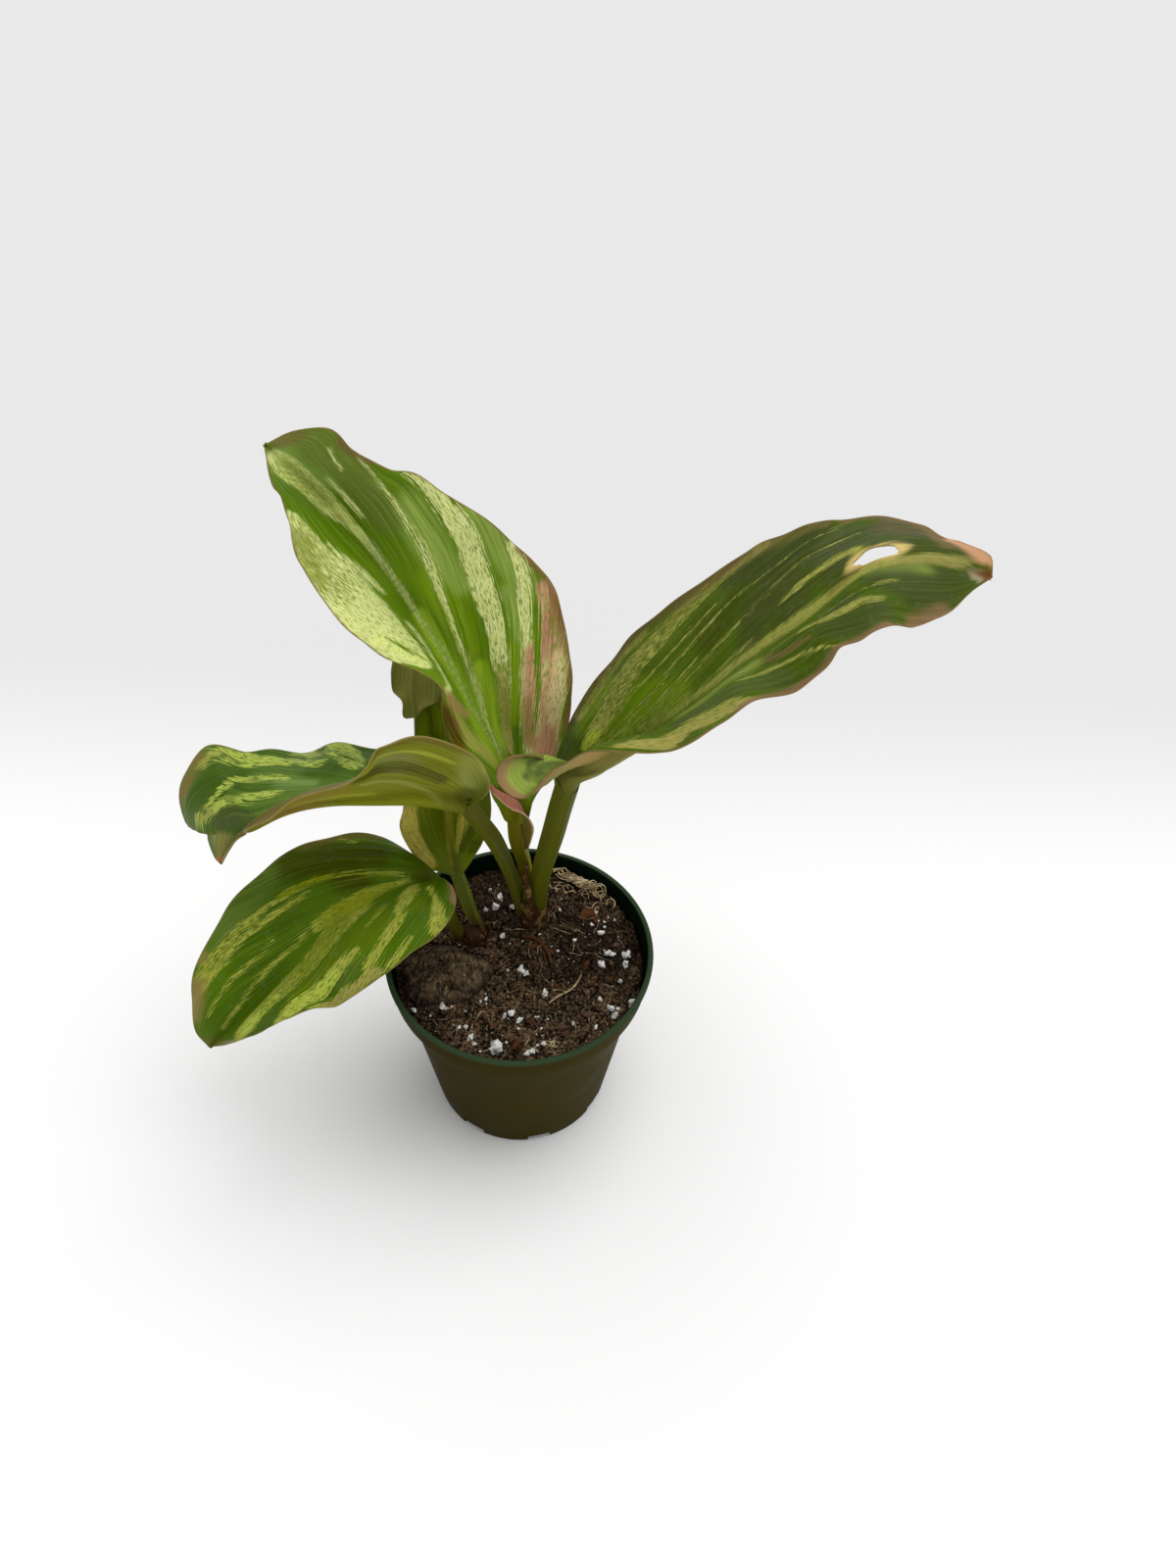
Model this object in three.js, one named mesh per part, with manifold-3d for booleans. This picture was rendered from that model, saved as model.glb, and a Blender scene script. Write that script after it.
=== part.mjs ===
// A variegated kaempferia growing in a round nursery pot: five patterned leaves on two shoots.
// Millimetres, +Z up, origin at the centre of the pot's underside.
import * as THREE from "three";
import { mergeVertices } from "three/addons/utils/BufferGeometryUtils.js";
import Module from "manifold-3d";

const wasm = await Module();
wasm.setup();

// Driving dimensions of the pot
const POT_HEIGHT = 88;
const RIM_RADIUS = 54;
const COLLAR_RADIUS = 52.8;
const COLLAR_HEIGHT = 12;
const BODY_TOP_RADIUS = 48.6;
const BASE_RADIUS = 37.8;
const WALL = 1.3;
const LIP_HEIGHT = 2.4;
const DRAIN_NOTCHES = 8;
const NOTCH = { width: 10, height: 4.5, depth: 5 };

// Driving dimensions of the soil and of what lies on it
const SOIL_LEVEL = 80;
const GAP = 0.3;
const CLUMP = { x: -29.5, y: -10, radiusX: 18, radiusY: 14.5, height: 7 };
const TANGLE = { x: 23, y: 35, radius: 43, from: 80, to: 36, strand: 0.7 };

// Driving dimensions of the leaves; the rib's depth is a share of its half-width
const EDGE_THICKNESS = 0.75;
const TIP_HALF_WIDTH = 0.8;
const TIP_RIB_HALF_WIDTH = 0.9;
const RIB_DEPTH = 1.55;
const STALK_CHANNEL = -0.25;
const STALK_ROWS = 6;
const BLADE_ROWS = 24;

// Distances across one half of a leaf, as shares of the rib's half-width and of what is left
const RIB_SHARES = [0, 0.55, 1];
const BLADE_SHARES = [0.2, 0.45, 0.72, 1];

// The two shoots of the rhizome, each a short false stem of wrapped leaf bases
const MAIN_SHOOT = { x: 4, y: 21.5, radius: 5.6, top: 96 };
const SIDE_SHOOT = { x: -19.8, y: 10, radius: 4.6, top: 88 };
const RHIZOME = { z: 58, radius: 7.5, overhang: 9 };

// Each leaf: its stalk runs from the foot to the blade, its blade from there (0) to the tip (1).
// rib, left and right hold [share, x, y, z]; radii are the stalk's half-widths at foot and blade;
// footAcross and bladeAcross point from the left side to the right side of the upper face. A lap
// holds the strip of margin that wraps round the stalk, as rows of an upper and a lower point.
const LEAVES = {
  leaf_tall: {
    color: 0x74952f,
    stalk: [[3, 25.6, 85], [1.4, 25.4, 97], [-0.4, 24, 112], [-2.8, 21.5, 127], [-3.1, 19.2, 140]],
    radii: [2, 2.6],
    footAcross: [1, 0.1, 0],
    bladeAcross: [1, -0.15, -0.1],
    camber: 3,
    rib: [
      [0, -3.1, 19.2, 140], [0.05, -2.8, 16.4, 159], [0.12, -8, 17, 178], [0.28, -17, 20, 196],
      [0.42, -27, 25, 216], [0.56, -38, 30, 233], [0.7, -50, 34, 252], [0.85, -64, 36, 271],
      [1, -77, 34, 286],
    ],
    left: [
      [0.02, -6.6, 16.5, 145], [0.035, -8.2, 14, 154], [0.05, -9.8, 11.5, 161],
      [0.07, -10.7, 8.5, 170], [0.095, -11.1, 5.5, 180], [0.14, -17, 2, 191], [0.2, -22, 1, 199],
      [0.26, -24, 1, 211], [0.32, -24, 2, 221], [0.38, -30, 3, 226], [0.44, -39, 4, 229],
      [0.5, -46, 5, 234], [0.58, -55, 7, 242], [0.66, -62, 11, 251], [0.72, -67, 15, 259],
      [0.78, -69, 19, 267], [0.84, -71, 23, 273], [0.9, -74, 26, 277], [0.95, -76, 30, 281],
    ],
    right: [
      [0.02, 2.6, 17.5, 144], [0.035, 4.6, 15, 157], [0.05, 9, 13.5, 168], [0.065, 12.9, 12.5, 178],
      [0.085, 16, 13, 189], [0.115, 17.5, 15, 201], [0.2, 17.5, 17, 215], [0.28, 16, 21, 227],
      [0.35, 13, 26, 237], [0.41, 9, 30.5, 244.5], [0.46, 3.7, 31, 251], [0.54, -5, 31.5, 259.5],
      [0.6, -11.6, 30.5, 266.5], [0.68, -22.5, 30.5, 273.5], [0.74, -31.5, 31.5, 279.5],
      [0.8, -40.4, 32.6, 280.6], [0.88, -50.4, 32.4, 286.4], [0.94, -57.3, 34, 292],
      [0.98, -68.5, 34.5, 290.4],
    ],
    lap: [
      [-10.3, 8.4, 173.5, -10.4, 8.9, 169], [-8.6, 8.5, 170, -8.6, 7.5, 167],
      [-6.2, 9, 167.3, -6.2, 8, 163], [-3.5, 9.5, 165, -2.9, 9, 158.5],
      [-0.8, 11.5, 160.5, -0.1, 10, 156], [0.8, 15, 152, 2, 11, 153.5],
      [0.2, 18, 144.5, 3.6, 12.5, 149.5], [-0.3, 20.8, 135.2, 4.8, 14.5, 142.5],
      [0.3, 22.2, 128, 3.8, 18, 133.2], [1, 23.5, 121, 2.2, 21.5, 123.5],
    ],
  },
  leaf_right: {
    color: 0x4d6b26,
    stalk: [
      [4.6, 21.4, 85], [4.6, 20.8, 96], [5.6, 19.4, 112], [8.5, 17.3, 131], [10.8, 15.2, 145],
      [13.2, 12.6, 161], [15.3, 10, 174],
    ],
    radii: [3.1, 4],
    footAcross: [-0.7, -0.7, 0],
    bladeAcross: [-0.6, -0.75, 0],
    camber: 2.5,
    rows: 32,
    rib: [
      [0, 15.3, 10, 174], [0.05, 19.8, 8.2, 181.5], [0.1, 26, 6, 187], [0.25, 42, 0, 205],
      [0.4, 57, -5, 225], [0.55, 71, -8, 245], [0.7, 85, -10, 262], [0.82, 97, -9, 276],
      [0.88, 105, -8, 280], [0.94, 118, -5, 280], [1, 137.5, -2, 274],
    ],
    left: [
      [0.03, 14, 15.5, 178], [0.06, 14, 19, 182], [0.12, 19.7, 23.7, 195], [0.19, 27.6, 27, 211],
      [0.25, 35.6, 27.8, 224], [0.32, 48, 27.5, 237], [0.42, 64, 26, 256], [0.55, 80, 23, 269],
      [0.63, 89, 20, 277], [0.7, 97, 17.5, 278.5], [0.78, 108, 14.5, 282.5], [0.85, 118, 12, 282],
      [0.91, 125, 9, 279], [0.95, 130, 7, 279], [0.98, 137, 3, 278],
    ],
    right: [
      [0.02, 11.8, 6, 183.5], [0.04, 6.8, 3, 190.7], [0.06, -0.6, 1, 193], [0.08, -5.8, -1, 190.5],
      [0.1, -6.4, -4, 185.5], [0.12, -1.2, -7, 181.8], [0.14, 4, -9, 183.7], [0.165, 9, -10, 190.6],
      [0.19, 12.5, -9.5, 195.7], [0.21, 17.9, -10, 201.4], [0.235, 24.1, -13, 209.4],
      [0.27, 36, -22, 219], [0.34, 50.3, -29.5, 227.5], [0.42, 62.7, -31.7, 240.5],
      [0.48, 69.4, -31.4, 249.6], [0.54, 80.6, -32.7, 254.3], [0.6, 88, -33, 262],
      [0.66, 90.8, -31.4, 269.6], [0.74, 97, -31, 273], [0.82, 104, -29, 275],
      [0.9, 113.4, -24.6, 273.5], [0.95, 122.7, -17.5, 272.6], [0.98, 130, -10, 274.7],
    ],
    hole: { share: 0.83, across: -0.3, length: 13, width: 5 },
  },
  leaf_arched: {
    color: 0x53702c,
    stalk: [
      [1.2, 19.4, 85], [-0.4, 19.4, 96], [-3.1, 17.6, 113], [-7.6, 8, 142], [-12.6, 0, 162],
      [-16, -6, 177],
    ],
    radii: [2, 2.8],
    footAcross: [0.2, 1, 0],
    bladeAcross: [0.3, 0.9, 0.3],
    camber: 2.5,
    rib: [
      [0, -16, -6, 177], [0.15, -31, -12, 185], [0.3, -46, -16.5, 188], [0.45, -61.5, -19.5, 188.5],
      [0.58, -74.5, -21.5, 185], [0.7, -87, -21, 175.7], [0.82, -90.5, -20, 173],
      [0.9, -93.6, -18.5, 169.6], [0.95, -99.6, -17, 159.6], [1, -105, -15, 149],
    ],
    left: [
      [0.03, -9, -11, 186], [0.06, -8, -12, 195], [0.1, -12, -14, 206], [0.18, -29, -18, 218],
      [0.27, -39.7, -23.5, 217.5], [0.34, -44, -29.5, 212.5], [0.45, -55.6, -33, 208],
      [0.58, -71, -34.5, 199.5], [0.7, -83, -31.5, 186.5], [0.82, -88, -27, 178.5],
      [0.9, -93, -23, 171], [0.95, -100, -18.5, 158.7],
    ],
    right: [
      [0.04, -18, 7, 176], [0.1, -26, 14, 182], [0.2, -40, 16, 182], [0.32, -53.7, 15, 180.8],
      [0.4, -64, 13.3, 183.3], [0.48, -74, 12.6, 180.6], [0.56, -84, 10.5, 181.5],
      [0.66, -95, 8, 183], [0.75, -106, 5, 188], [0.82, -113, 0, 181], [0.88, -118, -5, 171],
      [0.905, -115.5, -10, 161.6], [0.92, -108, -12.5, 166.7], [0.95, -107.4, -13.5, 159.3],
      [0.98, -106.3, -14.5, 151.8],
    ],
  },
  leaf_low: {
    color: 0x66832a,
    stalk: [[-22.6, 8.2, 81], [-26, 7.6, 91], [-28, 6, 105], [-31, 2, 125]],
    radii: [1.9, 2.4],
    footAcross: [0.4, 0.9, 0],
    bladeAcross: [0.3, 0.9, -0.2],
    camber: 3.5,
    rib: [
      [0, -31, 2, 125], [0.1, -38, -5, 132], [0.25, -49, -12, 133], [0.42, -65, -20, 126],
      [0.58, -81, -28, 111], [0.75, -96, -36, 96], [0.9, -108, -42, 84], [1, -116, -44.5, 75.5],
    ],
    left: [
      [0.04, -25, -5, 132], [0.09, -22, -13, 132], [0.16, -24, -22, 130], [0.27, -32, -32, 129],
      [0.42, -46, -41, 122], [0.58, -61, -47.5, 112.5], [0.66, -70, -49, 112],
      [0.75, -80, -50, 106], [0.9, -101, -48, 87],
    ],
    right: [
      [0.06, -40, 9, 131], [0.14, -53, 12.2, 137.2], [0.27, -72, 9.2, 139.2], [0.42, -89, 2, 135],
      [0.58, -105, -9, 124], [0.75, -118, -23, 107], [0.87, -122, -35, 92], [0.95, -120.3, -42, 83],
    ],
  },
  leaf_rear: {
    color: 0x6b8034,
    stalk: [[-17.6, 12.2, 81], [-20.6, 12, 90], [-23.4, 12.6, 103], [-26, 14, 114]],
    radii: [1.9, 2.2],
    footAcross: [1, 0, 0],
    bladeAcross: [1, 0, 0],
    camber: 2,
    rib: [
      [0, -26, 14, 114], [0.2, -29, 18, 134], [0.4, -32, 23, 156], [0.6, -33, 30, 177],
      [0.72, -34.6, 33, 195], [0.8, -36, 33, 209], [0.9, -38.5, 25, 201.5], [1, -36.7, 19, 192],
    ],
    left: [
      [0.1, -37, 9.4, 124.7], [0.2, -44.6, 9.3, 141.6], [0.3, -43, 10, 154], [0.42, -40, 15, 166],
      [0.55, -38, 21, 180], [0.68, -39.2, 29, 196], [0.77, -43.5, 29, 210], [0.84, -44.3, 26, 211],
      [0.9, -44.5, 22, 202], [0.94, -41, 20, 198.5], [0.98, -40.6, 18, 193],
    ],
    right: [
      [0.12, -15, 12, 135], [0.25, -11, 13, 153], [0.4, -13, 17, 170], [0.55, -19, 25, 184],
      [0.68, -25, 32, 196.5], [0.78, -26.5, 31, 209.5], [0.86, -28, 27, 205], [0.92, -29, 24, 196],
      [0.97, -34, 21, 195],
    ],
  },
};

// Largest grains of perlite as the surface shows them, [x, y, radius]; the rest is sprinkled
const GRAINS = [
  [-9, -42, 2.6], [4, -44, 1.6], [-20, -37, 1.7], [-31, -28, 1.5], [-13, 34, 1.6], [-10, 24, 1.8],
  [-4, 28, 1.3], [-8, 14, 1.4], [0, 1, 1.5], [17, 25, 1.3], [35, 22, 1.4], [40, 12, 1.8],
  [46, 3, 1.7], [33, -1, 1.8], [46, -16, 1.6], [38, -22, 2], [9, -15, 1.6], [-5, -25, 1.5],
];
const SPRINKLED = { grains: 14, seed: 29, reach: 45, smallest: 0.9, spread: 0.7 };

// How finely the round pieces are cut into flats
const POT_SIDES = 44;
const SOIL_SIDES = 36;
const CLUMP_SIDES = 26;
const SHOOT_SIDES = 14;
const RHIZOME_SIDES = 12;
const HOLE_SIDES = 12;

const vec = (values) => new THREE.Vector3(...values);
const profilePoints = (profile) => profile.map(([radius, z]) => new THREE.Vector2(radius, z));
const turn = (part, whole) => (2 * Math.PI * part) / whole;

// A smooth curve through knots [share, ...values]: slopes come from each knot's two neighbours
function through(knots, share) {
  const last = knots.length - 1;
  const slope = (i, axis) => {
    const before = knots[Math.max(0, i - 1)];
    const after = knots[Math.min(last, i + 1)];
    return (after[axis] - before[axis]) / (after[0] - before[0]);
  };
  let i = 0;
  while (i < last - 1 && share > knots[i + 1][0]) i += 1;
  const span = knots[i + 1][0] - knots[i][0];
  const u = THREE.MathUtils.clamp((share - knots[i][0]) / span, 0, 1);
  const h1 = u * u * (3 - 2 * u);
  const h2 = u * (1 - u) * (1 - u) * span;
  const h3 = u * u * (u - 1) * span;
  const values = [];
  for (let axis = 1; axis < knots[0].length; axis += 1) {
    const passed = knots[i][axis] * (1 - h1) + knots[i + 1][axis] * h1;
    values.push(passed + slope(i, axis) * h2 + slope(i + 1, axis) * h3);
  }
  return values;
}

// Points [x, y, z] given shares by their distance along the line
function spaced(points) {
  const lengths = [0];
  for (let i = 1; i < points.length; i += 1) {
    lengths.push(lengths[i - 1] + vec(points[i]).distanceTo(vec(points[i - 1])));
  }
  return points.map((point, i) => [lengths[i] / lengths[points.length - 1], ...point]);
}

// Centre, both side points and the rib's half-width of one section of a leaf; share -1 is the foot
// of the stalk, 0 the base of the blade and 1 its tip
function section(leaf, share) {
  const [footRadius, baseRadius] = leaf.radii;
  if (share <= 0) {
    const way = share + 1;
    const centre = vec(through(spaced(leaf.stalk), way));
    const across = vec(leaf.footAcross).lerp(vec(leaf.bladeAcross), way).normalize();
    const radius = THREE.MathUtils.lerp(footRadius, baseRadius, Math.min(1, way * 1.6));
    const left = centre.clone().addScaledVector(across, -radius);
    const right = centre.clone().addScaledVector(across, radius);
    return { centre, left, right, ribWidth: radius };
  }
  const base = vec(leaf.rib[0].slice(1));
  const tip = vec(leaf.rib[leaf.rib.length - 1].slice(1));
  const centre = vec(through(leaf.rib, share));
  const side = (knots, sign) => {
    const across = vec(leaf.bladeAcross).normalize();
    const first = base.clone().addScaledVector(across, sign * baseRadius);
    const inner = vec(knots[knots.length - 1].slice(1)).sub(tip).normalize();
    const end = tip.clone().addScaledVector(inner, TIP_HALF_WIDTH);
    return vec(through([[0, ...first], ...knots, [1, ...end]], share));
  };
  const ribWidth = THREE.MathUtils.lerp(baseRadius, TIP_RIB_HALF_WIDTH, Math.sqrt(share));
  return { centre, left: side(leaf.left, -1), right: side(leaf.right, 1), ribWidth };
}

// One row of the leaf's upper face, from its left margin over the rib to its right margin
function topRow(leaf, share) {
  const { centre, left, right, ribWidth } = section(leaf, share);
  const ahead = section(leaf, Math.min(1, share + 0.01)).centre;
  const behind = section(leaf, Math.max(-1, share - 0.01)).centre;
  const along = ahead.sub(behind).normalize();
  const up = right.clone().sub(left).cross(along).normalize();
  const half = (side) => {
    const width = side.distanceTo(centre);
    const ribShare = Math.min(0.7, ribWidth / width);
    const inRib = RIB_SHARES.map((s) => s * ribShare);
    const inBlade = BLADE_SHARES.map((s) => ribShare + s * (1 - ribShare));
    const swell = share > 0 ? leaf.camber * Math.min(1, width / 20) : STALK_CHANNEL;
    return [...inRib, ...inBlade].map((s) => {
      const point = centre.clone().lerp(side, s).addScaledVector(up, swell * 4 * s * (1 - s));
      return { point, fromRib: s * width, ribWidth, share };
    });
  };
  const leftHalf = half(left).reverse();
  return [...leftHalf, ...half(right).slice(1)];
}

// Thickness under a point of the upper face: a round rib that thins toward the tip, and a thin blade
function thickness(sample) {
  const fade = sample.share <= 0 ? 1 : 1 - 0.75 * sample.share;
  const inside = Math.min(1, sample.fromRib / sample.ribWidth);
  return EDGE_THICKNESS + RIB_DEPTH * fade * sample.ribWidth * Math.sqrt(1 - inside * inside);
}

// A mesh of numbered points
function indexed(points, index) {
  const geometry = new THREE.BufferGeometry();
  geometry.setAttribute("position", new THREE.Float32BufferAttribute(points, 3));
  geometry.setIndex(index);
  return geometry;
}

// A closed skin from an upper and a lower grid of points: both are split into triangles alike
function skin(top, bottom) {
  const rows = top.length;
  const columns = top[0].length;
  const lower = rows * columns;
  const index = [];
  const quad = (a, b, c, d) => index.push(a, b, c, a, c, d);
  for (let i = 0; i < rows - 1; i += 1) {
    for (let j = 0; j < columns - 1; j += 1) {
      const a = i * columns + j;
      const b = a + 1;
      const c = b + columns;
      const d = a + columns;
      quad(a, b, c, d);
      index.push(lower + a, lower + c, lower + b, lower + a, lower + d, lower + c);
    }
    const start = i * columns;
    const end = start + columns - 1;
    quad(lower + start, start, start + columns, lower + start + columns);
    quad(end, lower + end, lower + end + columns, end + columns);
  }
  for (let j = 0; j < columns - 1; j += 1) {
    const a = (rows - 1) * columns + j;
    quad(j + 1, j, lower + j, lower + j + 1);
    quad(a, a + 1, lower + a + 1, lower + a);
  }
  const points = [...top.flat(), ...bottom.flat()].flatMap((p) => [p.x, p.y, p.z]);
  return indexed(points, index);
}

// A grid of points, each shifted along the way out of the face that its neighbours span
function shifted(rows, distance) {
  return rows.map((row, i) =>
    row.map((point, j) => {
      const before = rows[Math.max(0, i - 1)][j];
      const after = rows[Math.min(rows.length - 1, i + 1)][j];
      const leftward = row[Math.max(0, j - 1)];
      const rightward = row[Math.min(row.length - 1, j + 1)];
      const along = after.clone().sub(before);
      const outward = rightward.clone().sub(leftward).cross(along).normalize();
      return point.clone().addScaledVector(outward, distance(i, j));
    }),
  );
}

// The blade's rows lie closer together at its base and tip
function bladeShares(count) {
  return Array.from({ length: count }, (_, i) => {
    const even = (i + 1) / count;
    return even - (0.35 * Math.sin(2 * Math.PI * even)) / (2 * Math.PI);
  });
}

// A leaf's stalk, with its blade unless it is left off, as one closed skin that grow widens all round
function leafGeometry(leaf, { blade = true, grow = 0 } = {}) {
  const shares = Array.from({ length: STALK_ROWS + 1 }, (_, i) => -1 + i / STALK_ROWS);
  if (blade) shares.push(...bladeShares(leaf.rows ?? BLADE_ROWS));
  const grown = { ...leaf, radii: leaf.radii.map((radius) => radius + grow) };
  const samples = shares.map((share) => topRow(grown, share));
  const face = samples.map((row) => row.map((sample) => sample.point));
  const downward = face[0][0].clone().sub(face[1][0]).setLength(2 * grow);
  if (grow > 0) face[0].forEach((point) => point.add(downward));
  const top = shifted(face, () => grow);
  const bottom = shifted(face, (i, j) => -thickness(samples[i][j]) - grow);
  return skin(top, bottom);
}

// The lap of a leaf's margin round its stalk: a thin strip through rows of an upper and a lower point
function lapGeometry(lap) {
  const face = lap.map(([x, y, z, lowX, lowY, lowZ]) => [vec([lowX, lowY, lowZ]), vec([x, y, z])]);
  const top = shifted(face, () => EDGE_THICKNESS / 2);
  const bottom = shifted(face, () => -EDGE_THICKNESS / 2);
  return skin(top, bottom);
}

// Solids for joining and cutting
function toSolid(geometry) {
  const bare = geometry.clone();
  bare.deleteAttribute("normal");
  bare.deleteAttribute("uv");
  const merged = mergeVertices(bare, 1e-4);
  return new wasm.Manifold(
    new wasm.Mesh({
      numProp: 3,
      vertProperties: new Float32Array(merged.attributes.position.array),
      triVerts: new Uint32Array(merged.index.array),
    }),
  );
}

function fromSolid(solid) {
  const { vertProperties, triVerts } = solid.getMesh();
  return indexed(vertProperties, Array.from(triVerts));
}

function mesh(name, geometry, color, roughness) {
  const material = new THREE.MeshStandardMaterial({ color, roughness, metalness: 0 });
  const shown = new THREE.Mesh(geometry, material);
  shown.name = name;
  return shown;
}

// The oval hole that was torn in a blade, as a plug that stands through it
function holePlug(leaf) {
  const { share, across, length, width } = leaf.hole;
  const { centre, left, right } = section(leaf, share);
  const along = section(leaf, share + 0.02).centre.sub(centre).normalize();
  const side = (across < 0 ? left : right).clone().sub(centre);
  const up = side.clone().cross(along).normalize();
  const plug = new THREE.CylinderGeometry(0.5, 0.5, 14, HOLE_SIDES).rotateX(Math.PI / 2);
  plug.scale(length, width, 1);
  const placed = new THREE.Matrix4().makeBasis(along, up.clone().cross(along), up);
  placed.setPosition(centre.addScaledVector(side, Math.abs(across)));
  return plug.applyMatrix4(placed);
}

// A whole leaf: its lap is fused to it and its hole is cut
function wholeLeaf(leaf) {
  let solid = toSolid(leafGeometry(leaf));
  if (leaf.lap) solid = solid.add(toSolid(lapGeometry(leaf.lap)));
  if (leaf.hole) solid = solid.subtract(toSolid(holePlug(leaf)));
  return fromSolid(solid);
}

// A thin-walled moulded pot: a tapered cup with a stepped collar, a rolled lip and drain notches
function potGeometry() {
  const collarFoot = POT_HEIGHT - COLLAR_HEIGHT;
  const lipFoot = POT_HEIGHT - LIP_HEIGHT;
  const collarInside = COLLAR_RADIUS - WALL;
  const baseInside = BASE_RADIUS - WALL;
  const profile = [
    [0, 0], [BASE_RADIUS - 1.2, 0], [BASE_RADIUS, 1.2],
    [BODY_TOP_RADIUS, collarFoot - 1.6], [COLLAR_RADIUS - 0.6, collarFoot],
    [COLLAR_RADIUS, lipFoot], [RIM_RADIUS, lipFoot + 0.5], [RIM_RADIUS, POT_HEIGHT - 0.5],
    [RIM_RADIUS - 0.5, POT_HEIGHT], [collarInside + 0.4, POT_HEIGHT],
    [collarInside, lipFoot], [collarInside - 0.6, collarFoot + 0.6],
    [BODY_TOP_RADIUS - WALL, collarFoot - 1.2], [baseInside, WALL + 1], [baseInside - 1, WALL],
    [0, WALL],
  ];
  let cup = toSolid(new THREE.LatheGeometry(profilePoints(profile), POT_SIDES).rotateX(Math.PI / 2));
  for (let i = 0; i < DRAIN_NOTCHES; i += 1) {
    const notch = new THREE.BoxGeometry(NOTCH.depth, NOTCH.width, 2 * NOTCH.height);
    notch.translate(BASE_RADIUS, 0, 0);
    notch.rotateZ(turn(i + 0.35, DRAIN_NOTCHES));
    cup = cup.subtract(toSolid(notch));
  }
  return fromSolid(cup);
}

// Height of the soil: broad lumps that die out under the clump, the dry roots and at the wall
function soilHeight(x, y) {
  const radius = Math.hypot(x, y);
  const lumps =
    1.3 * Math.sin(0.19 * x + 0.6) * Math.cos(0.16 * y - 0.4) +
    0.7 * Math.sin(0.41 * x - 0.23 * y) + 0.45 * Math.cos(0.52 * y + 0.3 * x + 1);
  const mound = 2.5 * Math.exp(-((x - 1) ** 2 + (y - 18) ** 2) / 300);
  const clear = (item, reachX, reachY) =>
    THREE.MathUtils.smoothstep(Math.hypot((x - item.x) / reachX, (y - item.y) / reachY), 1.15, 1.6);
  const open = clear(CLUMP, CLUMP.radiusX, CLUMP.radiusY) * clear(TANGLE, 18, 14);
  const atWall = THREE.MathUtils.smoothstep(radius, 36, 50) * open;
  return SOIL_LEVEL + (lumps + mound) * open - 1.2 * atWall;
}

// Small seeded random numbers
function randomNumbers(seed) {
  let state = seed;
  return () => {
    state = (state * 16807) % 2147483647;
    return state / 2147483647;
  };
}

// The inside radius of the pot at a height
function insideRadius(z) {
  const collarFoot = POT_HEIGHT - COLLAR_HEIGHT;
  const share = THREE.MathUtils.clamp((z - WALL - 1) / (collarFoot - 1.2 - WALL - 1), 0, 1);
  const inBody = THREE.MathUtils.lerp(BASE_RADIUS, BODY_TOP_RADIUS, share) - WALL;
  const inCollar = COLLAR_RADIUS - WALL - 0.6;
  const step = THREE.MathUtils.smoothstep(z, collarFoot - 1.2, collarFoot + 0.6);
  return THREE.MathUtils.lerp(inBody, inCollar, step);
}

// A closed solid of rings round an upright line, from the middle of its top out and under its floor
function ringedSkin(topMiddle, rings, floorMiddle) {
  const sides = rings[0].length;
  const index = [];
  for (let k = 0; k < sides; k += 1) {
    const next = (k + 1) % sides;
    index.push(0, 1 + k, 1 + next);
    for (let ring = 0; ring < rings.length - 1; ring += 1) {
      const a = 1 + ring * sides + k;
      const b = 1 + ring * sides + next;
      index.push(a, a + sides, b + sides, a, b + sides, b);
    }
    const last = 1 + (rings.length - 1) * sides;
    index.push(last + k, last + sides, last + next);
  }
  return indexed([topMiddle, ...rings.flat(), floorMiddle].flat(), index);
}

// One ring of points [x, y, z]; place gives the point for an angle
function ringOf(sides, place) {
  return Array.from({ length: sides }, (_, k) => place(turn(k, sides)));
}

// A grain of perlite, sunk by three quarters of its radius
function grainSolid([x, y, radius], spin) {
  const grain = new THREE.IcosahedronGeometry(radius, 0);
  grain.rotateX(spin).rotateY(2 * spin);
  grain.translate(x, y, soilHeight(x, y) + 0.25 * radius);
  return toSolid(grain);
}

// A closed plug of soil with a lumpy top and the coarser perlite grains standing out of it
function soilSolid() {
  const floor = WALL + GAP;
  const onTop = [6, 12, 18, 24, 30, 36, 42, 48.5].map((radius) =>
    ringOf(SOIL_SIDES, (angle) => {
      const x = radius * Math.cos(angle);
      const y = radius * Math.sin(angle);
      return [x, y, soilHeight(x, y)];
    }),
  );
  const atWall = [74, 40, WALL + 1.4, floor].map((z) => {
    const radius = insideRadius(z) - GAP - 0.15 - (z === floor ? 1.2 : 0);
    return ringOf(SOIL_SIDES, (angle) => [radius * Math.cos(angle), radius * Math.sin(angle), z]);
  });
  const plug = ringedSkin([0, 0, soilHeight(0, 0)], [...onTop, ...atWall], [0, 0, floor]);
  const random = randomNumbers(SPRINKLED.seed);
  const sprinkled = Array.from({ length: SPRINKLED.grains }, () => {
    const angle = 2 * Math.PI * random();
    const radius = SPRINKLED.reach * Math.sqrt(random());
    const size = SPRINKLED.smallest + SPRINKLED.spread * random();
    return [radius * Math.cos(angle), radius * Math.sin(angle), size];
  });
  const awayFrom = (item, reach) => ([x, y]) => Math.hypot(x - item.x, y - item.y) > reach;
  const kept = sprinkled.filter(awayFrom(CLUMP, 24)).filter(awayFrom(TANGLE, 20));
  return [...GRAINS, ...kept].reduce((solid, grain, i) => solid.add(grainSolid(grain, i)), toSolid(plug));
}

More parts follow.
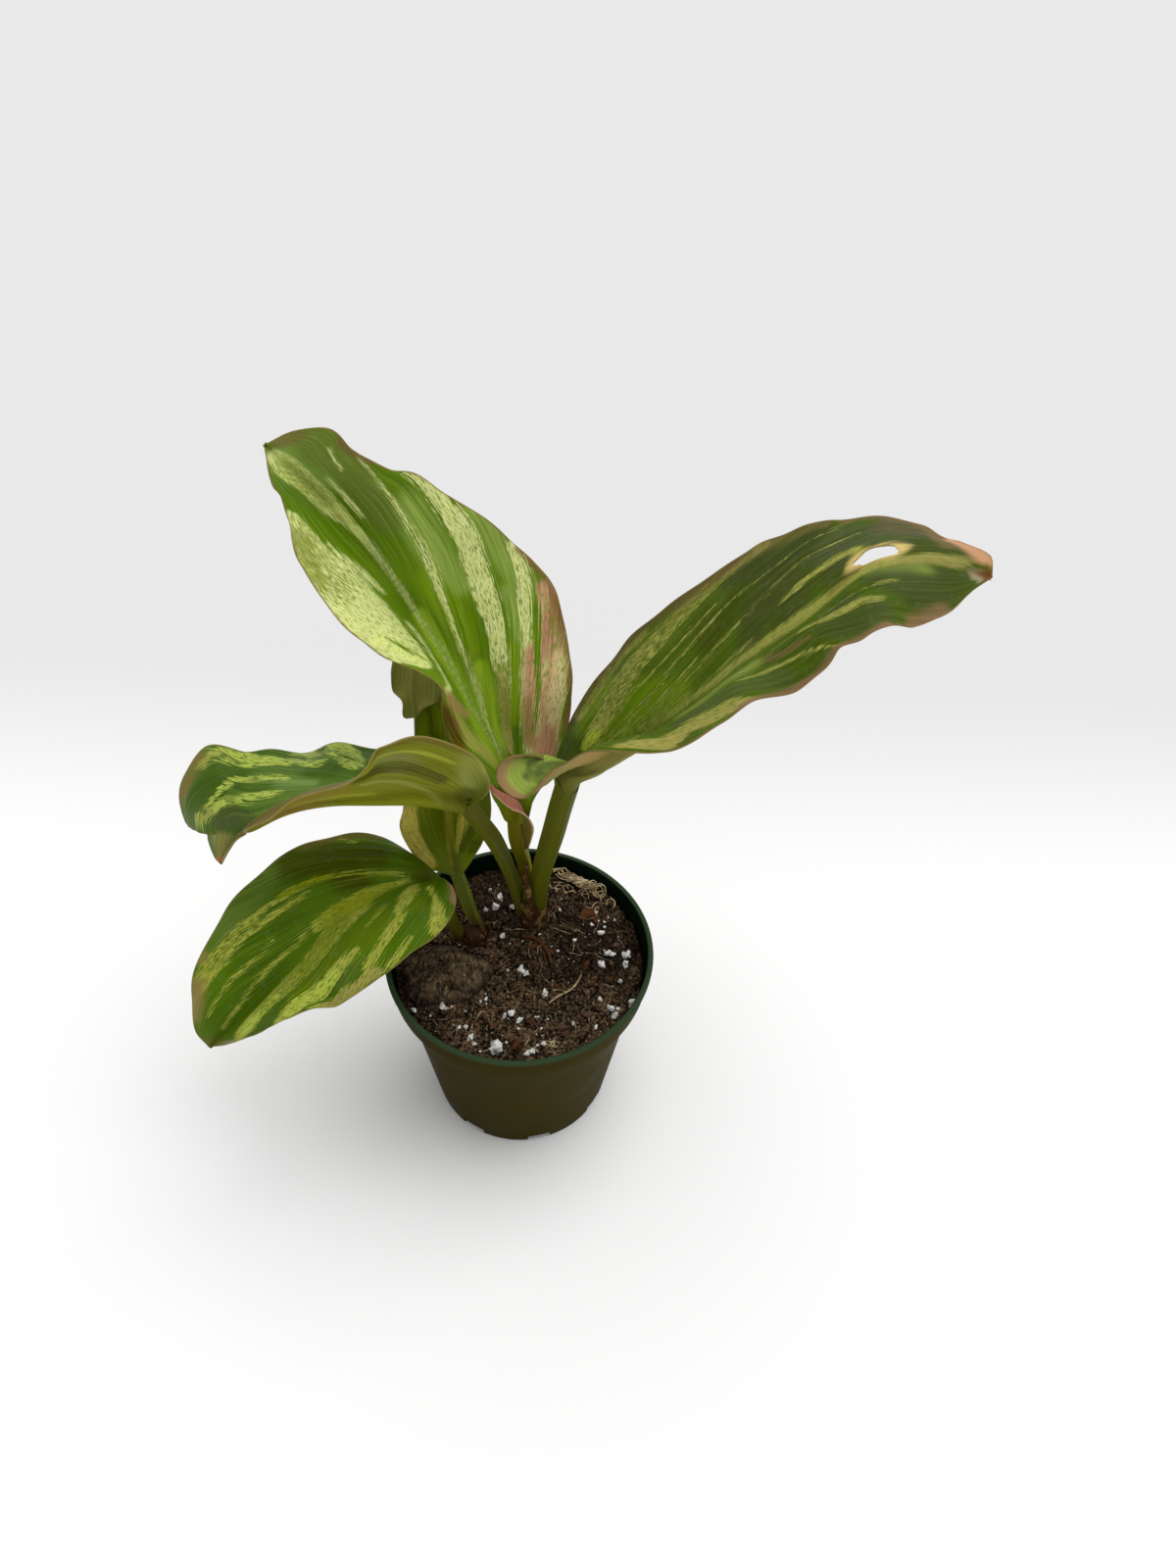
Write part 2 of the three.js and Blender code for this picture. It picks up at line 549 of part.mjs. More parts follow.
// A false stem: a short stack of round sections from the rhizome to just above the soil
function shootGeometry(shoot, grow) {
  const foot = RHIZOME.z - 2;
  const radius = shoot.radius + grow;
  const top = shoot.top + grow;
  const profile = [
    [0, foot], [radius + 0.6, foot], [radius + 0.4, SOIL_LEVEL - 8],
    [radius, SOIL_LEVEL + 4], [radius + 0.5, top - 3],
    [radius - 0.6, top], [0, top],
  ];
  const stem = new THREE.LatheGeometry(profilePoints(profile), SHOOT_SIDES).rotateX(Math.PI / 2);
  return stem.translate(shoot.x, shoot.y, 0);
}

// The rhizome: a knobbly rootstock that runs below the soil from one shoot to the other
function rhizomeGeometry(grow) {
  const length = Math.hypot(MAIN_SHOOT.x - SIDE_SHOOT.x, MAIN_SHOOT.y - SIDE_SHOOT.y);
  const reach = length / 2 + RHIZOME.overhang;
  const steps = 12;
  const profile = Array.from({ length: steps + 1 }, (_, i) => {
    const along = -1 + (2 * i) / steps;
    const knob = 1 + 0.1 * Math.cos(4 * Math.PI * along);
    const radius = (RHIZOME.radius * knob + grow) * Math.sqrt(1 - 0.97 * along ** 4);
    return [i % steps === 0 ? 0 : radius, along * (reach + grow)];
  });
  const angle = Math.atan2(MAIN_SHOOT.y - SIDE_SHOOT.y, MAIN_SHOOT.x - SIDE_SHOOT.x);
  return new THREE.LatheGeometry(profilePoints(profile), RHIZOME_SIDES)
    .rotateZ(-Math.PI / 2)
    .rotateZ(angle)
    .translate((MAIN_SHOOT.x + SIDE_SHOOT.x) / 2, (MAIN_SHOOT.y + SIDE_SHOOT.y) / 2, RHIZOME.z);
}

function rhizomeSolid(grow) {
  return toSolid(rhizomeGeometry(grow))
    .add(toSolid(shootGeometry(MAIN_SHOOT, grow)))
    .add(toSolid(shootGeometry(SIDE_SHOOT, grow)));
}

// A flat-bottomed crumb of peat, widest at its foot, with a knobbly top
function clumpGeometry() {
  const foot = SOIL_LEVEL + GAP;
  const edge = (share, angle) => {
    const outline = 1 + 0.07 * Math.sin(3 * angle + 1) + 0.05 * Math.sin(5 * angle);
    const x = CLUMP.radiusX * share * outline * Math.cos(angle);
    const y = CLUMP.radiusY * share * outline * Math.sin(angle);
    return [x, y];
  };
  const rings = [1, 2, 3, 4, 5, 6].map((step) =>
    ringOf(CLUMP_SIDES, (angle) => {
      const share = step / 6;
      const [x, y] = edge(share, angle);
      const knobs = 0.7 * (1 - share) * Math.sin(x) * Math.cos(0.8 * y);
      return [x, y, foot + 0.9 + 0.88 * (CLUMP.height * (1 - share ** 2.6) + knobs)];
    }),
  );
  const floorRing = ringOf(CLUMP_SIDES, (angle) => [...edge(0.96, angle), foot]);
  const clump = ringedSkin([0, 0, foot + CLUMP.height], [...rings, floorRing], [0, 0, foot]);
  return clump.translate(CLUMP.x, CLUMP.y, 0);
}

// Old dry roots that lie along the wall in a loose net, each a wavy strand that crosses the others
function tangleSolid() {
  const corners = ringOf(5, (angle) => [TANGLE.strand * Math.cos(angle), TANGLE.strand * Math.sin(angle)]);
  const outline = new THREE.Shape(profilePoints(corners));
  const strands = [
    { lift: 0, wave: 2.2, phase: 0, offset: -2.5, from: 0, to: 0.95 },
    { lift: 0.5, wave: 2.6, phase: 2.2, offset: 0, from: 0.1, to: 1 },
    { lift: 0.2, wave: 2, phase: 4, offset: 2.4, from: 0.25, to: 0.97 },
    { lift: 0.6, wave: 3, phase: 5.4, offset: 0, from: 0.5, to: 0.9 },
  ];
  const solids = strands.map((strand) => {
    const points = Array.from({ length: 10 }, (_, i) => {
      const along = THREE.MathUtils.lerp(strand.from, strand.to, i / 9);
      const angle = THREE.MathUtils.degToRad(THREE.MathUtils.lerp(TANGLE.from, TANGLE.to, along));
      const radius = TANGLE.radius + strand.offset + strand.wave * Math.sin(10 * along + strand.phase);
      const wave = 0.4 * (1 + Math.sin(18 * along + strand.phase));
      const z = SOIL_LEVEL + GAP + TANGLE.strand + strand.lift + wave;
      return new THREE.Vector3(radius * Math.cos(angle), radius * Math.sin(angle), z);
    });
    const extrudePath = new THREE.CatmullRomCurve3(points);
    return toSolid(new THREE.ExtrudeGeometry(outline, { steps: 16, extrudePath }));
  });
  return solids.reduce((whole, solid) => whole.add(solid));
}

const plant = new THREE.Group();
plant.add(mesh("pot", potGeometry(), 0x3a3a1e, 0.45));

// Stalks and stems stand in plain holes, which leave the gap all round and a little over
const CLEARANCE = GAP + 0.1;
const stalkHole = (leaf) => toSolid(leafGeometry(leaf, { blade: false, grow: CLEARANCE }));
const stalks = Object.values(LEAVES).map(stalkHole);
const withoutStalks = (whole) => stalks.reduce((solid, stalk) => solid.subtract(stalk), whole);
const soil = soilSolid().subtract(rhizomeSolid(CLEARANCE));
plant.add(mesh("rhizome_and_shoots", fromSolid(withoutStalks(rhizomeSolid(0))), 0x5b4a26, 0.8));
plant.add(mesh("soil", fromSolid(withoutStalks(soil)), 0x33241a, 0.95));
plant.add(mesh("peat_clump", clumpGeometry(), 0x4a3a2a, 0.95));
plant.add(mesh("dry_root_tangle", fromSolid(tangleSolid()), 0xa58a66, 0.9));

for (const [name, leaf] of Object.entries(LEAVES)) {
  plant.add(mesh(name, wholeLeaf(leaf), leaf.color, 0.5));
}

export default plant;
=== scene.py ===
import math
import random

import bpy
import numpy as np
from mathutils import Matrix, Vector, noise
from mathutils.kdtree import KDTree


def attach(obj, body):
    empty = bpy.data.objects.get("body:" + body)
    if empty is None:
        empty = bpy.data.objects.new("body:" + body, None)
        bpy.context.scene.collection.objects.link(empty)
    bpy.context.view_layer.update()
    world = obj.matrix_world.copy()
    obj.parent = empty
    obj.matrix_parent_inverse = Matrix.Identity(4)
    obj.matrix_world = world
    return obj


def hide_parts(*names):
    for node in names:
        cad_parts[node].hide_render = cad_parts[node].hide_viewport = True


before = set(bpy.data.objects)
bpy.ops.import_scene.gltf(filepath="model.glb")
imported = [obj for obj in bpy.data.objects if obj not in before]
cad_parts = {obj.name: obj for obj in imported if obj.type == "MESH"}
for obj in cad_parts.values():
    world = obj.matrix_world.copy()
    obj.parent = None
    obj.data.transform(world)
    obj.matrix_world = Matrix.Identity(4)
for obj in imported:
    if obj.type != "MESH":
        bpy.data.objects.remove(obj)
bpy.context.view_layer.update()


# The table top and the light.
# A wide pale sheet of matt paper lies flat under the pot and is a little greyer toward the back.
# A broad overcast light comes from above, as through a greenhouse roof. Neither is part of the plant.
MM = 0.001
FLOOR_SIZE = 6.0
FLOOR_CENTRE = (0, 0.8, -0.0002)


def linear(code):
    """Turns an sRGB hex colour into linear red, green and blue, and full alpha."""
    channels = [int(code[i:i + 2], 16) / 255 for i in (1, 3, 5)]
    return [c / 12.92 if c <= 0.04045 else ((c + 0.055) / 1.055) ** 2.4 for c in channels] + [1.0]


def add_node(tree, kind, inputs=None, output=0, **settings):
    """Adds one node with its settings, feeds it values or sockets, and gives one of its outputs."""
    node = tree.nodes.new("ShaderNode" + kind)
    for name, value in settings.items():
        setattr(node, name, value)
    for name, value in (inputs or {}).items():
        if isinstance(value, bpy.types.NodeSocket):
            tree.links.new(value, node.inputs[name])
        else:
            node.inputs[name].default_value = value
    return node.outputs[output] if node.outputs else None


def new_material(name):
    """A material with an empty node tree."""
    material = bpy.data.materials.new(name)
    material.use_nodes = True
    material.node_tree.nodes.clear()
    return material, material.node_tree


scene = bpy.context.scene
scene.view_settings.view_transform = "Standard"

bpy.ops.object.select_all(action="DESELECT")
bpy.ops.mesh.primitive_plane_add(size=FLOOR_SIZE, location=FLOOR_CENTRE)
floor = bpy.context.object
floor.name = "floor"
bpy.ops.object.transform_apply(location=True, rotation=True, scale=True)
paper, tree = new_material("matt_paper")
place = add_node(tree, "TexCoord", output="Object")
depth = add_node(tree, "SeparateXYZ", {0: place}, "Y")
fade = add_node(tree, "MapRange", {0: depth, 1: 0.08, 2: 0.30}, interpolation_type="SMOOTHSTEP")
tone = add_node(tree, "Mix", {0: fade, 6: linear("#fafafa"), 7: linear("#e1e1e1")}, 2, data_type="RGBA")
matt = add_node(tree, "BsdfPrincipled", {"Base Color": tone, "Roughness": 0.9, "Specular IOR Level": 0.1})
add_node(tree, "OutputMaterial", {"Surface": matt})
floor.data.materials.append(paper)

world = bpy.data.worlds.new("overcast")
scene.world = world
world.use_nodes = True
world.node_tree.nodes["Background"].inputs["Color"].default_value = (1.0, 1.0, 1.0, 1.0)
world.node_tree.nodes["Background"].inputs["Strength"].default_value = 0.55

sky_light = bpy.data.lights.new("sky_light", "SUN")
sky_light.energy = 1.75
sky_light.angle = math.radians(50)
sky_holder = bpy.data.objects.new("sky_light", sky_light)
scene.collection.objects.link(sky_holder)
sky_holder.matrix_world = Vector((0.25, 0.1, 1.0)).to_track_quat("Z", "Y").to_matrix().to_4x4()

# The camera stands at the photograph's place: above the pot and in front of it, looking down
camera_data = bpy.data.cameras.new("camera")
camera_data.lens = 25.875
camera_data.sensor_width = 36.0
camera_data.clip_start = 0.01
camera = bpy.data.objects.new("camera", camera_data)
scene.collection.objects.link(camera)
CAMERA_SPOT = (24.6, -275.7, 454.9)
PITCH = math.radians(44.7)
ROLL = math.radians(2.5)
look = Vector((0, math.cos(PITCH), -math.sin(PITCH)))
level_up = Vector((1, 0, 0)).cross(look)
right = math.cos(ROLL) * Vector((1, 0, 0)) + math.sin(ROLL) * level_up
up = math.cos(ROLL) * level_up - math.sin(ROLL) * Vector((1, 0, 0))
turn = Matrix((right, up, -look)).transposed().to_4x4()
camera.matrix_world = Matrix.Translation(Vector(CAMERA_SPOT) * MM) @ turn
scene.camera = camera


# The nursery pot.
# A thin-walled round pot, injection-moulded in one piece of dark green polypropylene, with a
# stepped collar, a rolled lip and eight drain notches cut through the foot of its wall.
BODY_PROFILE = [
    (36.2, 0), (37.1, 0.2), (37.7, 0.8), (37.9, 1.6), (41.3, 25), (44.9, 50), (48.4, 73.6), (48.9, 74.9),
    (49.8, 75.6), (51.4, 75.9), (52.1, 76.3), (52.3, 77.1), (52.55, 81), (52.8, 85.3), (53.1, 85.6),
    (53.7, 85.7), (53.95, 86.1), (54, 86.8), (53.9, 87.5), (53.5, 87.9), (52.9, 88), (52.1, 87.95),
    (51.7, 87.6), (51.5, 86.6), (51.2, 80), (50.9, 76.9), (50.3, 76), (48, 75.3), (47.3, 74.6),
    (47.1, 73), (43.6, 50), (40, 25), (36.6, 3), (36.2, 1.7), (35.2, 1.3),
]
POT_SEGMENTS = 180
NOTCHES = 8
NOTCH_RADIUS = 37.8
NOTCH_SIZE = (5, 10, 9)
FIRST_NOTCH = 0.35


def turned(name, profile, segments):
    """A round piece: a disc's face is extruded through the profile's (radius, height) in mm."""
    bpy.ops.object.select_all(action="DESELECT")
    bpy.ops.mesh.primitive_circle_add(vertices=segments, radius=profile[0][0] * MM, fill_type="NGON",
                                      location=(0, 0, profile[0][1] * MM))
    piece = bpy.context.object
    piece.name = name
    piece.data.name = name
    bpy.ops.object.transform_apply(location=True, rotation=True, scale=True)
    bpy.ops.object.mode_set(mode="EDIT")
    bpy.ops.mesh.select_all(action="SELECT")
    for (radius, height), (wider, higher) in zip(profile, profile[1:]):
        bpy.ops.mesh.extrude_region_move(TRANSFORM_OT_translate={"value": (0, 0, (higher - height) * MM)})
        grow = wider / radius
        bpy.ops.transform.resize(value=(grow, grow, 1))
    bpy.ops.mesh.select_all(action="SELECT")
    bpy.ops.mesh.normals_make_consistent(inside=False)
    bpy.ops.object.mode_set(mode="OBJECT")
    return piece


def joined(pieces, name):
    """Several pieces made one, under a new name."""
    bpy.ops.object.select_all(action="DESELECT")
    for piece in pieces:
        piece.select_set(True)
    bpy.context.view_layer.objects.active = pieces[0]
    bpy.ops.object.join()
    pieces[0].name = name
    pieces[0].data.name = name
    return pieces[0]


def cut_away(piece, cutter, solver, flattest):
    """Cuts the cutter out of a piece, and smooths the edges that bend less than an angle in degrees."""
    bpy.context.view_layer.objects.active = piece
    cut = piece.modifiers.new("cut", "BOOLEAN")
    cut.object = cutter
    cut.operation = "DIFFERENCE"
    cut.solver = solver
    bpy.ops.object.modifier_apply(modifier=cut.name)
    bpy.data.objects.remove(cutter)
    piece.data.materials.clear()
    bpy.ops.object.select_all(action="DESELECT")
    piece.select_set(True)
    bpy.context.view_layer.objects.active = piece
    bpy.ops.object.shade_smooth_by_angle(angle=math.radians(flattest))


pot = turned("nursery_pot", BODY_PROFILE, POT_SEGMENTS)
cutters = []
for i in range(NOTCHES):
    angle = 2 * math.pi * (i + FIRST_NOTCH) / NOTCHES
    spot = (NOTCH_RADIUS * MM * math.cos(angle), NOTCH_RADIUS * MM * math.sin(angle), 0)
    bpy.ops.mesh.primitive_cube_add(size=MM, location=spot, rotation=(0, 0, angle), scale=NOTCH_SIZE)
    bpy.ops.object.transform_apply(location=True, rotation=True, scale=True)
    cutters.append(bpy.context.object)
cut_away(pot, joined(cutters, "drain_notches"), "EXACT", 40)

# Moulded polypropylene: a weathered, quite matt skin that is brown-olive through its thin wall, with a
# faint film of dust and water marks. Painted light and shade: the body is lighter toward its right side,
# the top of the lip is a lighter, bluer green that stands for its sheen, and the inside is near black green
# as shade
polypropylene, tree = new_material("moulded_polypropylene")
place = add_node(tree, "TexCoord", output="Object")
across, height = (add_node(tree, "SeparateXYZ", {0: place}, axis) for axis in "XZ")
flat = add_node(tree, "Mapping", {"Vector": place, "Scale": (1, 1, 0)})
radius = add_node(tree, "VectorMath", {0: flat}, "Value", operation="LENGTH")
taper = add_node(tree, "Math", {0: height, 1: 0.146, 2: 0.0370}, operation="MULTIPLY_ADD")
collar = add_node(tree, "MapRange", {0: height, 1: 0.0748, 2: 0.0764})
middle = add_node(tree, "Mix", {0: collar, 2: taper, 3: 0.0519}, 0)
outside = add_node(tree, "Math", {0: radius, 1: middle}, operation="SUBTRACT")
outer = add_node(tree, "MapRange", {0: outside, 1: -0.0002, 2: 0.0002})
blotch = add_node(tree, "TexNoise", {"Vector": place, "Scale": 45.0, "Detail": 4.0, "Roughness": 0.6})
body = add_node(tree, "Mix", {0: blotch, 6: linear("#2c2507"), 7: linear("#372f0b")}, 2, data_type="RGBA")
# Painted light: the body is lighter toward its right side, where more light falls
lit_right_side = add_node(tree, "MapRange", {0: across, 1: -0.03, 2: 0.045})
body = add_node(tree, "Mix", {0: lit_right_side, 6: body, 7: linear("#3b360f")}, 2, data_type="RGBA")
# Painted sheen: the top of the rolled lip is a lighter, bluer green that stands for its sheen
lip_sheen = add_node(tree, "MapRange", {0: height, 1: 0.0864, 2: 0.0877}, interpolation_type="SMOOTHSTEP")
body = add_node(tree, "Mix", {0: lip_sheen, 6: body, 7: linear("#35452f")}, 2, data_type="RGBA")
# Painted shade: the inside of the wall is near black green, far darker than the outside
shaded_inside = add_node(tree, "Mix", {0: blotch, 6: linear("#06120a"), 7: linear("#0d1f12")}, 2, data_type="RGBA")
skin = add_node(tree, "Mix", {0: outer, 6: shaded_inside, 7: body}, 2, data_type="RGBA")
stain = add_node(tree, "Mapping", {"Vector": place, "Scale": (60, 60, 18)})
dust = add_node(tree, "TexNoise", {"Vector": stain, "Scale": 1.0, "Detail": 6.0, "Roughness": 0.7})
dust = add_node(tree, "MapRange", {0: dust, 1: 0.52, 2: 0.8, 4: 0.07})
skin = add_node(tree, "Mix", {0: dust, 6: skin, 7: linear("#5c5634")}, 2, data_type="RGBA")
gloss = add_node(tree, "MapRange", {0: blotch, 1: 0.3, 2: 0.7, 3: 0.34, 4: 0.5})
grain = add_node(tree, "TexNoise", {"Vector": place, "Scale": 900.0, "Detail": 2.0})
ripple = add_node(tree, "TexNoise", {"Vector": place, "Scale": 70.0, "Detail": 2.0})
relief = add_node(tree, "Math", {0: ripple, 1: 6.0, 2: grain}, operation="MULTIPLY_ADD")
relief = add_node(tree, "Bump", {"Height": relief, "Strength": 0.25, "Distance": 0.0001})
plastic = add_node(tree, "BsdfPrincipled", {"Base Color": skin, "Roughness": gloss, "Normal": relief,
                                            "IOR": 1.49, "Specular IOR Level": 0.006})
add_node(tree, "OutputMaterial", {"Surface": plastic})
pot.data.materials.append(polypropylene)
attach(pot, "root")
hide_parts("pot")


# The potting soil.
# A loose mix of milled peat, fine bark and coir that was filled to just under the lip and watered
# in: it lies in lumps of a few millimetres with dark crevices between them.
SOIL_LEVEL = 80
CLUMP_CENTRE = (-29.5, -10)
CLUMP_RADII = (18, 14.5)
TANGLE_CENTRE = (23, 35)
TANGLE_RADII = (18, 14)
SOIL_RINGS = 125
SOIL_SECTORS = 430
WALL_RINGS = ((50.4, 76.9), (46.6, 73), (41.6, 40), (36, 2.9), (34.8, 1.7), (0.15, 1.7))


def smooth(values, low, high):
    """0 below low, 1 above high and a soft step between."""
    share = np.clip((values - low) / (high - low), 0, 1)
    return share * share * (3 - 2 * share)


def share_out(x, y, centre, radii):
    """How far a place lies from the middle of an oval, as a share of the way to its edge."""
    return np.hypot((x - centre[0]) / radii[0], (y - centre[1]) / radii[1])


def soil_height(x, y):
    """The soil's height in mm, as the solid has it: broad lumps that die out at what lies on it."""
    lumps = (1.3 * np.sin(0.19 * x + 0.6) * np.cos(0.16 * y - 0.4) + 0.7 * np.sin(0.41 * x - 0.23 * y)
             + 0.45 * np.cos(0.52 * y + 0.3 * x + 1))
    mound = 2.5 * np.exp(-((x - 1) ** 2 + (y - 18) ** 2) / 300)
    near_clump = share_out(x, y, CLUMP_CENTRE, CLUMP_RADII)
    near_tangle = share_out(x, y, TANGLE_CENTRE, TANGLE_RADII)
    free = smooth(near_clump, 1.15, 1.6) * smooth(near_tangle, 1.15, 1.6)
    return SOIL_LEVEL + (lumps + mound) * free - 1.2 * smooth(np.hypot(x, y), 36, 50) * free


def crumbs(x, y):
    """Lumps of 7, 3 and 1.5 mm heaped on each other, with crevices between, in mm."""
    total = 0.0
    for size, rise, seed in ((7.0, 1.3, 3.1), (3.2, 1.0, 7.7), (1.5, 0.75, 12.3)):
        gaps = noise.voronoi((x / size, y / size, seed))[0]
        total += rise * (min(1.0, (gaps[1] - gaps[0]) * 2.2) ** 0.6 - 0.55)
    rough = noise.fractal((x / 1.3, y / 1.3, 4.0), 0.6, 2.2, 4)
    return total + 0.75 * rough


def heaped(x, y):
    """The crumbs' heights over a round grid whose last column lies on its first."""
    heights = np.array([[crumbs(*spot) for spot in zip(*row)] for row in zip(x[:, :-1], y[:, :-1])])
    return np.concatenate([heights, heights[:, :1]], axis=1)


def bent_grid(name, rows):
    """A grid primitive bent to rows of points in mm."""
    count, columns = rows.shape[:2]
    bpy.ops.object.select_all(action="DESELECT")
    bpy.ops.mesh.primitive_grid_add(x_subdivisions=columns - 1, y_subdivisions=count - 1, size=1)
    piece = bpy.context.object
    piece.name = name
    piece.data.name = name
    piece.data.vertices.foreach_set("co", (rows * MM).astype(np.float32).ravel())
    return piece


def close_rings(piece):
    """Merges the seam of a grid that was bent round, fills its open ends and turns its faces out."""
    bpy.ops.object.mode_set(mode="EDIT")
    bpy.ops.mesh.select_all(action="SELECT")
    bpy.ops.mesh.remove_doubles(threshold=1e-7)
    bpy.ops.mesh.select_all(action="DESELECT")
    bpy.ops.mesh.select_non_manifold()
    bpy.ops.mesh.fill_holes(sides=0)
    bpy.ops.mesh.select_all(action="SELECT")
    bpy.ops.mesh.normals_make_consistent(inside=False)
    bpy.ops.object.mode_set(mode="OBJECT")
    bpy.ops.object.shade_smooth()


def set_attribute(mesh, name, values):
    """Stores a number or a vector for each point of a mesh, for its material to read."""
    kind, key = ("FLOAT_VECTOR", "vector") if values.ndim == 2 else ("FLOAT", "value")
    mesh.attributes.new(name, kind, "POINT").data.foreach_set(key, values.astype(np.float32).ravel())


turns = np.linspace(0, 2 * math.pi, SOIL_SECTORS + 1)
ring_radii = np.linspace(0.15, 50.0, SOIL_RINGS)
soil_x = ring_radii[:, None] * np.cos(turns)
soil_y = ring_radii[:, None] * np.sin(turns)
heap = heaped(soil_x, soil_y)
soil_z = soil_height(soil_x, soil_y) + heap
top = np.stack([soil_x, soil_y, soil_z], axis=-1)
walls = []
for radius, height in WALL_RINGS:
    level = np.full_like(turns, height)
    walls.append(np.stack([radius * np.cos(turns), radius * np.sin(turns), level], axis=-1))
soil = bent_grid("potting_soil", np.concatenate([top, np.array(walls)]))
set_attribute(soil.data, "heap", np.concatenate([heap.ravel(), np.zeros(len(walls) * len(turns))]))
close_rings(soil)

# Damp peat and bark: quite matt and grey-brown, with pale specks. Painted light and shade: the crumbs' tops
# are lighter, the crevices and small pits near black, and the lighter tops and specks fade toward the back
# and in patches
peat, tree = new_material("damp_peat")
place = add_node(tree, "TexCoord", output="Object")
heap_height = add_node(tree, "Attribute", output="Fac", attribute_name="heap")
patches = add_node(tree, "TexNoise", {"Vector": place, "Scale": 140.0, "Detail": 3.0})
specks = add_node(tree, "TexNoise", {"Vector": place, "Scale": 900.0, "Detail": 4.0, "Roughness": 0.7})
# Painted light and shade: the crumbs' tops are lighter and the crevices between them near black
shaded_crevice_tone = add_node(tree, "Mix", {0: patches, 6: linear("#0f0804"), 7: linear("#23160d")}, 2, data_type="RGBA")
lit_crumb_tone = add_node(tree, "Mix", {0: patches, 6: linear("#583f2a"), 7: linear("#80684d")}, 2, data_type="RGBA")
lit_tops = add_node(tree, "MapRange", {0: heap_height, 1: -0.5, 2: 1.0})
# The lighter tops and the light specks fade toward the back and in patches
depth_and_patches = add_node(tree, "TexNoise", {"Vector": place, "Scale": 34.0, "Detail": 2.0})
front = add_node(tree, "SeparateXYZ", {0: place}, "Y")
depth_and_patches = add_node(tree, "Math", {0: front, 1: 3.0, 2: depth_and_patches}, operation="MULTIPLY_ADD")
depth_and_patches = add_node(tree, "MapRange", {0: depth_and_patches, 1: 0.36, 2: 0.62, 3: 1.0, 4: 0.24})
lit_tops = add_node(tree, "Math", {0: lit_tops, 1: depth_and_patches}, operation="MULTIPLY")
tone = add_node(tree, "Mix", {0: lit_tops, 6: shaded_crevice_tone, 7: lit_crumb_tone}, 2, data_type="RGBA")
flecks = add_node(tree, "MapRange", {0: specks, 1: 0.54, 2: 0.63, 4: 0.85})
flecks = add_node(tree, "Math", {0: flecks, 1: depth_and_patches}, operation="MULTIPLY")
tone = add_node(tree, "Mix", {0: flecks, 6: tone, 7: linear("#a88f6d")}, 2, data_type="RGBA")
# Painted shade: the small pits between the specks are darkened to near black
pits = add_node(tree, "MapRange", {0: specks, 1: 0.48, 2: 0.39, 4: 0.95})
tone = add_node(tree, "Mix", {0: pits, 6: tone, 7: linear("#0d0704")}, 2, data_type="RGBA")
relief = add_node(tree, "Bump", {"Height": specks, "Strength": 1.0, "Distance": 0.001})
damp = add_node(tree, "BsdfPrincipled", {"Base Color": tone, "Roughness": 0.9, "Normal": relief,
                                         "Specular IOR Level": 0.1})
add_node(tree, "OutputMaterial", {"Surface": damp})
soil.data.materials.append(peat)
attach(soil, "root")
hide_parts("soil")


# Loose crumbs of peat and chips of bark.
# Small broken lumps and flat slivers of composted bark lie all over the soil. Each kind is shaped
# once or twice, copied with its own mesh and half sunk into the surface.
CRUMB_COUNT = 620
SOWN_CHIPS = 46
CHIP_PLACES = [
    (27, 25, 4.5, 0.4), (30, 22, 3.0, 1.9), (24.5, 22.5, 2.6, 2.6), (18.5, -31.5, 2.8, 0.3),
    (20.5, -33, 1.8, 1.2), (1.5, -40.5, 2.9, 1.25), (12.5, 3.5, 2.2, 2.1), (5, 4, 2.4, 0.5),
    (-8, -32, 2.2, 0.9), (34, -14, 2.2, 2.4), (-33, 18, 2.6, 0.2), (-14, 3, 2.2, 1.0), (39, 8, 2.0, 0.5),
    (8, -36, 1.9, 2.9), (28, -25, 2.1, 0.1),
]
chance = random.Random(11)


def rough_lump(name, detail, size, roughness, seed):
    """An irregular lump about 2 mm wide times its size: a ball whose points are pushed in and out."""
    bpy.ops.object.select_all(action="DESELECT")
    bpy.ops.mesh.primitive_ico_sphere_add(subdivisions=detail, radius=MM)
    lump = bpy.context.object
    lump.name = name
    for vertex in lump.data.vertices:
        way = vertex.co / MM
        push = 1 + roughness * noise.noise(way * 1.3 + Vector((seed, 0, 0)))
        push += 0.5 * roughness * noise.noise(way * 3.1 + Vector((0, seed, 0)))
        vertex.co = Vector((way.x * size[0], way.y * size[1], way.z * size[2])) * push * MM
    bpy.ops.object.shade_smooth()
    return lump


def strewn(name, shapes, places):
    """Copies of the shapes as one piece, one at each (place in mm, size, turn), each with its own mesh."""
    copies = []
    for i, (spot, size, (lean, tilt, spin)) in enumerate(places):
        mesh = shapes[i % len(shapes)].data.copy()
        lie = Matrix.Rotation(spin, 4, "Z") @ Matrix.Rotation(tilt, 4, "Y") @ Matrix.Rotation(lean, 4, "X")
        mesh.transform(Matrix.Translation(Vector(spot) * MM) @ lie @ Matrix.Diagonal((size, size, size, 1)))
        copy = bpy.data.objects.new(name, mesh)
        scene.collection.objects.link(copy)
        copies.append(copy)
    whole = joined(copies, name)
    for shape in shapes:
        bpy.data.objects.remove(shape)
    return whole


def tumbled():
    """A random turn about each axis."""
    return [chance.uniform(0, 6.28) for _ in range(3)]


def on_soil(reach):
    """A random place on the open soil, as far from the middle as reach and clear of the clump."""
    while True:
        angle, radius = chance.uniform(0, 2 * math.pi), reach * math.sqrt(chance.random())
        x, y = radius * math.cos(angle), radius * math.sin(angle)
        if share_out(x, y, CLUMP_CENTRE, CLUMP_RADII) > 1.0:
            return x, y, float(soil_height(x, y)) + crumbs(x, y)


